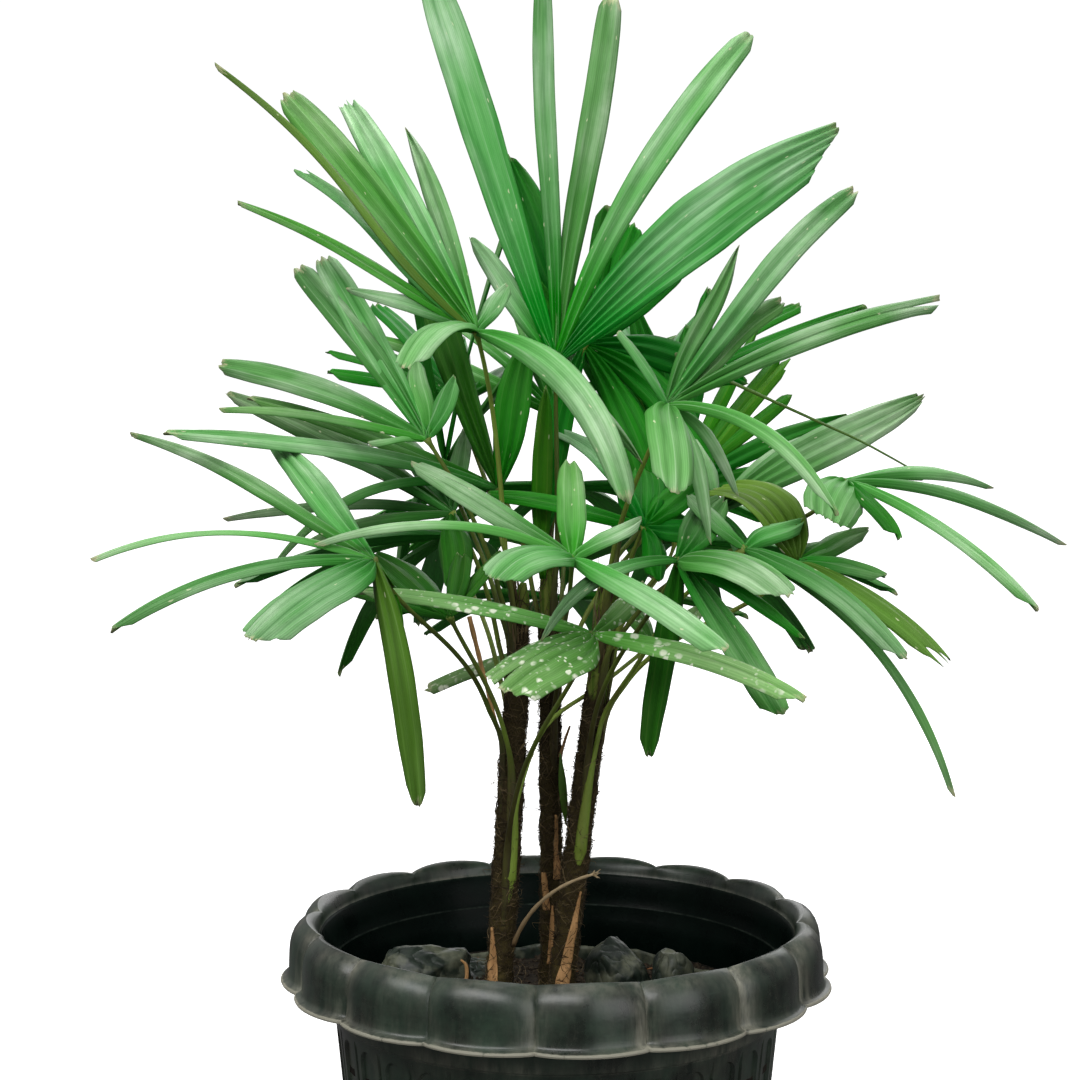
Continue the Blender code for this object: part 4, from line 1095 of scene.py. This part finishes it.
def petiolePath(f, swing, shift, steps):
    hub = f["hub"]
    centre, radius = canePoint(f["cane"], f["foot"] + shift)
    outward = squareTo(hub - centre, up)
    outward.rotate(Matrix.Rotation(math.radians(swing), 3, "Z"))
    start = centre + (radius + petiole["radius"] + gap) * outward
    far = (hub - start).length
    away = squareTo(hub - start, up)
    rising = start + far * (0.42 * up + 0.04 * outward)
    arriving = hub - far * (0.165 * away + 0.24 * up)
    return bezier(start, rising, arriving, hub, steps)


def leafletChord(leaflet, f, extraLean):
    normal = f["face"]
    reach = leaflet["reach"] * mm
    if "turn" in leaflet:
        outward = squareTo(Vector((normal.x, normal.y, 0)), normal)
        along = Matrix.Rotation(math.radians(leaflet["turn"]), 3, normal) @ outward
        along.rotate(Matrix.Rotation(math.radians(extraLean), 3, normal.cross(along)))
        return reach * along
    clock = math.radians(leaflet["clock"])
    if leaflet["lean"] is None:
        lean = math.atan((normal.x * math.sin(clock) + normal.z * math.cos(clock)) / normal.y)
        most = min(mostLean, math.acos(min(1.0, leaflet["reach"] / f["longest"])))
        lean = max(-most, min(most, lean))
    else:
        lean = math.radians(leaflet["lean"])
    chord = reach * Vector((math.sin(clock), -math.tan(lean), math.cos(clock)))
    leaned = max(-mostLean, min(mostLean, lean + math.radians(extraLean)))
    sight = f["hub"] + chord - eye
    return chord + sight * reach * (math.tan(lean) - math.tan(leaned)) / sight.y


def leafletBulge(leaflet, f, chord):
    along = chord.normalized()
    hang = (1 - along.z) / 2
    arch = leaflet["arch"]
    if arch is None:
        arch = archUpright + (archHanging - archUpright) * hang**2
    return squareTo(up + 0.25 * f["face"], along) * arch * leaflet["reach"] * mm, hang


def solidPoints(name):
    # the points of a CAD node, to find which of its places each part of it took
    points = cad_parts[name].data.vertices
    tree = KDTree(len(points))
    for i, point in enumerate(points):
        tree.insert(point.co, i)
    tree.balance()
    return tree


def missBy(tree, spots):
    return sum(tree.find(spot)[2] for spot in spots)


def takenPetiole(tree, f):
    tries = [(swing, shift) for shift in footShifts for swing in footTries]
    return min(tries, key=lambda t: missBy(tree, petiolePath(f, *t, 8)[:4]))


def takenChord(tree, leaflet, f):
    best = None
    for extra in leanTries:
        chord = leafletChord(leaflet, f, extra)
        bulge = leafletBulge(leaflet, f, chord)[0]
        spots = [f["hub"] + run * chord + 4 * run * (1 - run) * bulge for run in (0.52, 0.80, 1.0)]
        miss = missBy(tree, spots)
        if best is None or miss < best[0]:
            best = (miss, chord)
    return best[1]


def smoothProfile(kind, runs):
    stops = ((0, 0),) + tips[kind][3]
    fine = np.linspace(0, 1, 101)
    shares = np.interp(fine, [s[0] for s in stops], [s[1] for s in stops])
    for _ in range(6):
        shares[1:-1] = 0.25 * shares[:-2] + 0.5 * shares[1:-1] + 0.25 * shares[2:]
    return np.interp(runs, fine, shares)


def bladeFrames(leaflet, f, chord, rand):
    # the middle line, with the directions across and out of the blade
    bulge, hang = leafletBulge(leaflet, f, chord)
    bulge = bulge * leaflet["trim"] + squareTo(up, chord.normalized()) * leaflet["lift"] * chord.length
    fine = np.linspace(0, 1, 61)
    chordA, bulgeA, hubA = (np.array(v) for v in (chord, bulge, f["hub"]))
    centre = hubA + fine[:, None] * chordA + (4 * fine * (1 - fine))[:, None] * bulgeA
    tangent = chordA + (4 * (1 - 2 * fine))[:, None] * bulgeA
    tangent /= np.linalg.norm(tangent, axis=1)[:, None]
    normal = np.array(f["face"])
    look = normal - (tangent @ normal)[:, None] * tangent
    look /= np.linalg.norm(look, axis=1)[:, None]
    twist = math.radians(leaflet["roll"]) + math.radians(rand.uniform(-9, 9)) * (fine - 0.3)
    look = look * np.cos(twist)[:, None] + np.cross(tangent, look) * np.sin(twist)[:, None]
    across = np.cross(tangent, look)
    sway = 0.0016 * math.sin(rand.uniform(0, 6.28)) * np.sin(fine * math.pi * rand.uniform(1.2, 2.4))
    sway += leaflet["sway"] * np.sin(2 * math.pi * fine**0.85)
    return fine, centre + sway[:, None] * across, across, look, hang


def addBlade(heap, leaflet, f, chord, slot, rand):
    fine, centre, across, look, hang = bladeFrames(leaflet, f, chord, rand)
    length = chord.length
    kind = leaflet["tip"]
    pleats = max(1, round(leaflet["pleats"]))
    per = blade["perPleat"]
    stations = blade["stations"]
    allColumns = pleats * per + 1
    # where each column ends: teeth at the tip
    u = np.linspace(-1, 1, allColumns)
    teeth, drawn, slant, _ = tips[kind]
    teeth, slant = teeth / length, slant / length
    ends = np.ones(allColumns)
    for c in range(allColumns):
        notch = abs(2 * (c % per) / per - 1) ** 0.8
        ends[c] -= teeth * (0.35 * notch + 0.65 * rand.random())
    if kind == "ragged":  # a few long slender points
        ends -= 0.9 * teeth * np.abs(np.sin(u * 4.1 + rand.uniform(0, 3))) ** 0.7
    ends -= (drawn / length) * np.abs(u) ** 2.2 * min(1.0, length / 0.12)
    ends -= slant * (u + 0.25) + rand.uniform(-0.0015, 0.0015) / length * u
    wave = rand.uniform(0, 6)
    camber = (0.10 + 0.30 * hang) * rand.uniform(0.6, 1.2) * (1 if hang > 0.3 else -0.6)
    pleatHalf = 0.5 * leaflet["pleats"] * blade["pleat"] / pleats
    offset = 2 * rand.randint(0, 40)
    shade = rand.random()
    # one sheet, or two where the tip has split along a fold
    parts = [(0, allColumns, 0.0)]
    if leaflet["split"]:
        at, opening, start = leaflet["split"]
        parts = [(0, at * per + 1, -0.35 * opening), (at * per, allColumns, 0.65 * opening)]
    for first, last, opening in parts:
        columns = last - first
        us = np.tile(u[first:last], stations)
        t = np.linspace(0, 1, stations) ** 0.92
        flat = (t[:, None] * ends[None, first:last]).ravel()
        if opening and opening > 0:
            flat = flat * (1 - 0.04 * np.clip((flat - 0.3), 0, 1))
        share = smoothProfile(kind, flat)
        root = blade["root"] * (1 - flat)
        half = 0.5 * (root + (leaflet["pleats"] * blade["pleat"] - root) * share)
        half *= 1 + 0.025 * np.sin(flat * 17 + wave) * np.sin(flat * 5)
        narrow = np.clip(half / pleats, 0.0002, pleatHalf)
        slack = blade["foldSlack"] - 0.055 * min(1.0, 1.6 * hang) - (0.02 if leaflet["pleats"] >= 4 else 0)
        depth = np.sqrt(np.maximum((pleatHalf * slack) ** 2 - narrow**2, 0))
        depth = np.minimum(depth, blade["deepest"]) * np.clip(flat / 0.06, 0.15, 1)
        saw = np.abs(((us + 1) * pleats / 2) % 1 * 2 - 1)  # 1 at the fold's edges, 0 on its rib
        fold = (0.5 - saw**1.15) * depth
        side = us * half
        if opening:
            gone = np.clip((flat - start) / (1 - start), 0, 1)
            side = side + opening * length * gone**1.3
            fold = fold - abs(opening) * 0.25 * length * gone**1.5

        def at(values):
            return np.stack([np.interp(flat, fine, values[:, i]) for i in range(3)], axis=1)

        lookAt = at(look)
        top = at(centre) + side[:, None] * at(across) + (fold - camber * us**2 * half)[:, None] * lookAt
        under = top - blade["thick"] * lookAt
        addSheet(heap, top, under, stations, columns, slot, shade, flat, length, (us + 1) * pleats / 2 + offset)


def addSheet(heap, top, under, stations, columns, slot, shade, run, length, lateral):
    size = stations * columns
    faces = []
    for j in range(stations - 1):
        for c in range(columns - 1):
            a = j * columns + c
            faces.append((a, a + 1, a + 1 + columns, a + columns))
            faces.append((size + a, size + a + columns, size + a + 1 + columns, size + a + 1))
    edge = list(range(columns)) + [j * columns + columns - 1 for j in range(1, stations)]
    edge += [(stations - 1) * columns + c for c in range(columns - 2, -1, -1)]
    edge += [j * columns for j in range(stations - 2, 0, -1)]
    for i, a in enumerate(edge):
        b = edge[(i + 1) % len(edge)]
        faces.append((b, a, size + a, size + b))
    uv = np.stack([lateral, run * length * 100 + slot * 7.3], axis=1)
    uv = [tuple(p) for p in np.concatenate([uv, uv])]
    points = [Vector(p) for p in np.concatenate([top, under])]
    addShape(heap, points, faces, slot, uv, list(run) * 2, shade, [0.0] * size + [1.0] * size)


def buildFrond(name, f, seed):
    rand = random.Random(seed)
    tree = solidPoints("frond_" + name)
    heap = newHeap()
    tones = []
    for leaflet in f["leaflets"]:
        tone = leaflet["tone"] or f["tone"]
        if tone not in tones:
            tones.append(tone)
        chord = leafletChord(leaflet, f, 0) if leaflet["extra"] else takenChord(tree, leaflet, f)
        addBlade(heap, leaflet, f, chord * leaflet["trim"], tones.index(tone), rand)
    settle(heapPiece("leaves_" + name, heap, [leafLooks[tone] for tone in tones]), "frond", "frond_" + name)
    if name in routes:
        path = smoothPath([Vector(p) for p in routes[name]] + [f["hub"]], petiole["steps"])
    else:
        path = petiolePath(f, *takenPetiole(tree, f), petiole["steps"])
    buildPetiole(name, f, path, rand)


def buildPetiole(name, f, path, rand):
    # a thin stalk with a swollen hub, on a sheath that clasps the cane below it
    cane = f["cane"]
    foot = path[0]
    clasp = sheaths.get(name, usualSheath)
    centre = canePoint(cane, foot.z)[0]
    angle = math.atan2(foot.y - centre.y, foot.x - centre.x)
    rows, greens = [], []  # centre, half width, half thickness, direction out of the cane; brown to green
    below = 9
    for i in range(below):
        run = i / below
        height = max(soilLevel, foot.z - clasp["below"] * (1 - run))
        out = flatWay(angle)
        axis, size = canePoint(cane, height)
        rows.append((axis + out * (size - 0.0016 + 0.0014 * run), clasp["wide"] * (0.35 + 0.65 * run), 0.0013, out))
        greens.append(clasp["green"])
    gone = 0.0
    last = len(path) - 1
    for i, point in enumerate(path):
        if i:
            gone += (point - path[i - 1]).length
        held = max(0.0, 1 - gone / clasp["above"])
        axis, size = canePoint(cane, point.z)
        away = point - axis
        away.z = 0
        out = away.normalized()
        skin = axis + out * (size + 0.0004)
        held = held * held * (3 - 2 * held)
        wide = petiole["seen"] * (1.10 - 0.28 * i / last)
        hub = (petiole["hub"] - wide) * max(0.0, (i / last - 0.955) / 0.045)
        greening = min(1.0, gone / clasp["turns"]) ** 3 if "turns" in clasp else min(1.0, gone / clasp["above"]) ** 1.5
        greens.append(max(clasp["green"], greening))
        rows.append((point.lerp(skin, held), wide + hub + (clasp["wide"] * 0.88 - wide) * held**1.4,
                     wide * (1 - 0.25 * held) + hub, out))
    stem = newHeap()
    points, runs = [], []
    sides = petiole["sides"]
    span = len(rows) - 1
    for i, (middle, wide, thick, out) in enumerate(rows):
        along = (rows[min(i + 1, span)][0] - rows[max(i - 1, 0)][0]).normalized()
        outward = squareTo(out, along)
        beside = along.cross(outward)
        for side in range(sides):
            turn = 2 * math.pi * side / sides
            bend = -0.22 * wide * math.cos(turn) ** 2 * max(0.0, wide / petiole["seen"] - 1.2) * 0.4
            points.append(middle + beside * wide * math.cos(turn) + outward * (thick * math.sin(turn) + bend))
            runs.append(greens[i])
    addShape(stem, points, ringFaces(len(rows), sides), 0, run=runs, shade=rand.random())
    settle(heapPiece("petiole_" + name, stem, [stalkLook]), "frond", "frond_" + name)


for number, (name, f) in enumerate(fronds.items()):
    buildFrond(name, f, 500 + number)
print("fronds done:", len(fronds))


dryStalks = {
    "dry_stalk_low": ("left", 0.281, 55, (-16, -44, 328), (27, -46, 338), strawLook),
    "dry_stalk_high": ("left", 0.420, -60, (-48, -27, 462), (-59, -31, 509), woodLook),
}
bareStrips = (  # cane, lowest and highest, degrees right of the front at both, half widths in millimetres
    ("left", 0.240, 0.294, -26, -46, 6.2, 0.7), ("right", 0.240, 0.3175, -4, 36, 5.6, 0.5),
    ("middle", 0.258, 0.2995, -4, 4, 2.8, 0.6), ("middle", 0.2960, 0.3230, -30, -36, 3.0, 1.4),
    ("middle", 0.318, 0.364, 30, 26, 2.6, 0.6), ("left", 0.262, 0.310, 150, 158, 3.0, 0.5),
    ("right", 0.285, 0.345, 168, 175, 2.8, 0.5), ("middle", 0.250, 0.300, -160, -165, 2.8, 0.6),
    ("right", 0.400, 0.432, 120, 112, 2.2, 0.5), ("left", 0.380, 0.418, 205, 200, 2.2, 0.5),
)


def buildDryStalk(name, cane, height, side, bend, tip, look):
    rand = random.Random(len(name) * 13)
    centre, radius = canePoint(cane, height)
    foot = centre + (radius + 0.0012) * facing(side, 0)
    bend, tip = Vector(bend) * mm, Vector(tip) * mm
    path = bezier(foot, foot.lerp(bend, 0.66), tip.lerp(bend, 0.66), tip, 22)
    heap = newHeap()
    cut = look is woodLook
    radii = []
    for i in range(23):
        knot = 1 + 0.10 * math.sin(i * 1.7)
        radii.append(0.0014 * ((0.8 + 0.5 * i / 22) if cut else (1.2 - 0.5 * i / 22)) * knot)
    addStrand(heap, path, radii, 7, shade=0.95 if cut else 0.5)
    along = (path[-1] - path[-3]).normalized()
    for i in range(0 if cut else 7):  # the tip has frayed
        side = Vector((rand.gauss(0, 1), rand.gauss(0, 1), rand.gauss(0, 1)))
        reach = rand.uniform(0.003, 0.0075)
        way = (along + 0.75 * squareTo(side, along)).normalized()
        start = path[-2] + 0.0004 * side
        end = start + reach * way
        addStrand(heap, bezier(start, start + reach * 0.4 * along, end - reach * 0.3 * way, end, 5),
                  [0.0006, 0.0006, 0.0005, 0.0004, 0.0003, 0.0002], 4, shade=rand.random())
    settle(heapPiece(name + "_stem", heap, [look]), "dry_stalk", name)


def addCaneStrip(heap, cane, low, high, turnLow, turnHigh, wideLow, wideHigh, shade):
    # a strip of bare wood against the cane, where a sheath has been torn off
    stations, columns = 26, 9
    top, under, runs, lateral = [], [], [], []
    for i in range(stations):
        run = i / (stations - 1)
        height = low + (high - low) * run
        middle = math.radians(turnLow + (turnHigh - turnLow) * run - 90)
        torn = 1 + 0.22 * noise.noise(Vector((run * 9, low * 90, 0)))
        wide = (wideLow + (wideHigh - wideLow) * run**1.1) * mm * torn
        for c in range(columns):
            k = 2 * c / (columns - 1) - 1
            angle = middle + k * wide / canePoint(cane, height)[1]
            out = flatWay(angle)
            skin = caneSkin(cane, height, angle)
            grain = 0.0004 * noise.noise(Vector((k * 2.5, run * 6, low * 50)))
            top.append(skin + out * (0.0008 + grain + 0.0005 * run))
            under.append(skin - out * 0.0009)
            runs.append(run)
            lateral.append(k)
    addSheet(heap, np.array(top), np.array(under), stations, columns, 0, shade, np.array(runs), high - low,
             np.array(lateral))


# Routes of thin stems in millimetres: the curved one on the right, the hooked root, the stub and the bract
stemStops = ((106, 30, 671), (121, 20, 664), (145, 12, 653), (180, 4, 637), (204, -2, 626), (226, -8, 614),
             (245, -13, 603))
hookStops = ((-62, -19, 234), (-62.3, -20, 254.7), (-61.6, -21, 261.3), (-62.2, -22, 268.5), (-65.5, -24, 272.6))
stubStops = ((2.2, 14.5, 405.4), (5.6, 13, 417.6), (9, 12, 427.6))
bractStops = ((6.4, 8, 359), (5.2, 7, 372), (4.0, 6, 386), (3.0, 5, 399), (2.2, 5, 410))
bractWidths = (0.4, 0.9, 1.5, 2.0, 2.4, 2.7, 2.9, 3.0, 3.0, 2.9, 2.6, 2.3, 1.9, 1.5, 1.1, 0.8, 0.4)


def stemPath(stops, steps):
    return smoothPath([Vector(p) * mm for p in stops], steps)


def buildStrips():
    rand = random.Random(61)
    heap = newHeap()
    for strip in bareStrips:
        addCaneStrip(heap, *strip, rand.uniform(0.35, 0.75))
    addStrand(heap, stemPath(hookStops, 12), [0.0013] * 9 + [0.0012, 0.0010, 0.0008, 0.0005], 6, shade=0.6)
    addStrand(heap, stemPath(stubStops, 10), [0.0013 - 0.00005 * i for i in range(11)], 6, shade=0.1)
    settle(heapPiece("bare_strips", heap, [woodLook]), "cane")
    tops = newHeap()
    for cane in canes:
        high = canes[cane][1][2]
        for i in range(26):
            angle = anyAngle(rand)
            height = high - rand.uniform(0.004, 0.075)
            out = flatWay(angle)
            start = caneSkin(cane, height, angle) - out * 0.0004
            reach = rand.uniform(0.012, 0.030)
            end = start + reach * (up + rand.uniform(0.05, 0.35) * out).normalized()
            wide = rand.uniform(0.0005, 0.0014)
            addStrand(tops, bezier(start, start + 0.4 * reach * up, end - 0.3 * reach * up, end, 6),
                      [wide, wide, wide * 0.9, wide * 0.8, wide * 0.6, wide * 0.4, wide * 0.15], 4,
                      shade=rand.random(), flat=0.25, wide=Vector((-out.y, out.x, 0)))
    settle(heapPiece("frayed_sheath_tops", tops, [tanFibreLook]), "cane")


def buildSpear():
    # the folded young leaf in front of the crown's stalk, and a small blade low between the canes
    rand = random.Random(71)
    heap = newHeap()
    f = {"hub": Vector((-0.0098, 0.0105, 0.5300)), "face": facing(0, 8)}
    entry = leaf(0, 136, 1.7, "taper", arch=0.02)
    addBlade(heap, entry, f, Vector((0.0015, -0.0190, 0.134)), 0, rand)
    settle(heapPiece("young_spear", heap, [leafLooks["lime"]]), "frond")
    stems = newHeap()
    addStrand(stems, stemPath(bractStops, 16), [w * mm for w in bractWidths], 8, shade=0.55, flat=0.22,
              wide=Vector((0.96, 0.28, 0)))
    addStrand(stems, stemPath(stemStops, 36), [0.0014 - 0.000022 * i for i in range(37)], 6, shade=0.5)
    settle(heapPiece("thin_stems", stems, [stemLook]), "frond")


for name, sizes in dryStalks.items():
    buildDryStalk(name, *sizes)
buildStrips()
buildSpear()
print("stalks, strips and spear done")


lamps = {  # place, target, size, power
    "key": ((-1.2, -1.8, 2.3), (0, 0, 0.45), (3.0, 1.1), 62), "fill": ((1.6, -2.2, 1.0), (0, 0, 0.55), (2.0, 2.0), 24),
    "top": ((0.1, 0.2, 2.6), (0, 0, 0.4), (1.6, 1.6), 24), "back": ((0.5, 2.3, 1.7), (0, 0, 0.5), (2.2, 2.0), 26),
}


def whiteGlow(name, base, roughness, strength):
    material, tree, shader = newMaterial(name, roughness=roughness, specular=0.0)
    shader.inputs["Base Color"].default_value = (base, base, base, 1)
    shader.inputs["Emission Color"].default_value = (1, 1, 1, 1)
    shader.inputs["Emission Strength"].default_value = strength
    return material, tree, shader


def buildStage():
    # a pale floor that brightens into a white surround, both out of the way of reflections
    deselectAll()
    bpy.ops.mesh.primitive_plane_add(size=1, location=(0, 0, 0))
    floor = bpy.context.object
    floor.name = "floor"
    startEditing()
    bpy.ops.transform.resize(value=(56, 56, 1))
    bpy.ops.object.mode_set(mode="OBJECT")
    material, tree, shader = whiteGlow("pale_floor", 0.80, 0.9, 0.0)
    away = node(tree, "ShaderNodeVectorMath", operation="LENGTH")
    tree.links.new(objectPlace(tree), away.inputs[0])
    tree.links.new(spread(tree, away.outputs["Value"], 0.5, 2.6, 0.52, 1.0), shader.inputs["Emission Strength"])
    floor.data.materials.append(material)
    deselectAll()
    bpy.ops.mesh.primitive_uv_sphere_add(segments=48, ring_count=24, radius=30, location=(0, 0, 0))
    surround = bpy.context.object
    surround.name = "surround"
    surround.data.materials.append(whiteGlow("white_surround", 0, 1.0, 1.05)[0])
    surround.visible_shadow = False
    surround.visible_transmission = False
    for piece in (floor, surround):
        piece.visible_glossy = False
        piece.visible_diffuse = False


def buildWorld():
    # a soft sky: brightest overhead, dim below
    world = bpy.data.worlds.new("studio")
    world.use_nodes = True
    tree = world.node_tree
    direction = node(tree, "ShaderNodeSeparateXYZ")
    tree.links.new(node(tree, "ShaderNodeTexCoord").outputs["Generated"], direction.inputs[0])
    ramp = node(tree, "ShaderNodeValToRGB")
    tree.links.new(spread(tree, direction.outputs[2], -1, 1), ramp.inputs[0])
    stops = ((0.0, 0.13), (0.48, 0.13), (0.56, 0.30), (1.0, 0.50))
    ramp.color_ramp.elements[0].position, ramp.color_ramp.elements[1].position = stops[0][0], stops[-1][0]
    for place, _ in stops[1:-1]:
        ramp.color_ramp.elements.new(place)
    for element, (_, level) in zip(ramp.color_ramp.elements, stops):
        element.color = (level, level, level, 1)
    tree.links.new(ramp.outputs[0], tree.nodes["Background"].inputs["Color"])
    bpy.context.scene.world = world


def addLight(name, place, target, size, power):
    light = bpy.data.lights.new(name, "AREA")
    light.shape = "RECTANGLE"
    light.size, light.size_y = size
    light.energy = power
    lamp = bpy.data.objects.new(name, light)
    lamp.location = place
    lamp.visible_camera = False
    lamp.rotation_euler = (Vector(target) - Vector(place)).to_track_quat("-Z", "Y").to_euler()
    bpy.context.scene.collection.objects.link(lamp)


def buildCamera():
    data = bpy.data.cameras.new("camera")
    data.lens = 73.7
    data.sensor_width = 36
    camera = bpy.data.objects.new("camera", data)
    camera.location = (-0.0117, -1.5, 0.689)
    camera.rotation_euler = (math.radians(85), 0, 0)
    bpy.context.scene.collection.objects.link(camera)
    bpy.context.scene.camera = camera


buildStage()
buildCamera()
buildWorld()
for name, lamp in lamps.items():
    addLight(name, *lamp)
bpy.context.scene.view_settings.view_transform = "Standard"
print("stage ready")
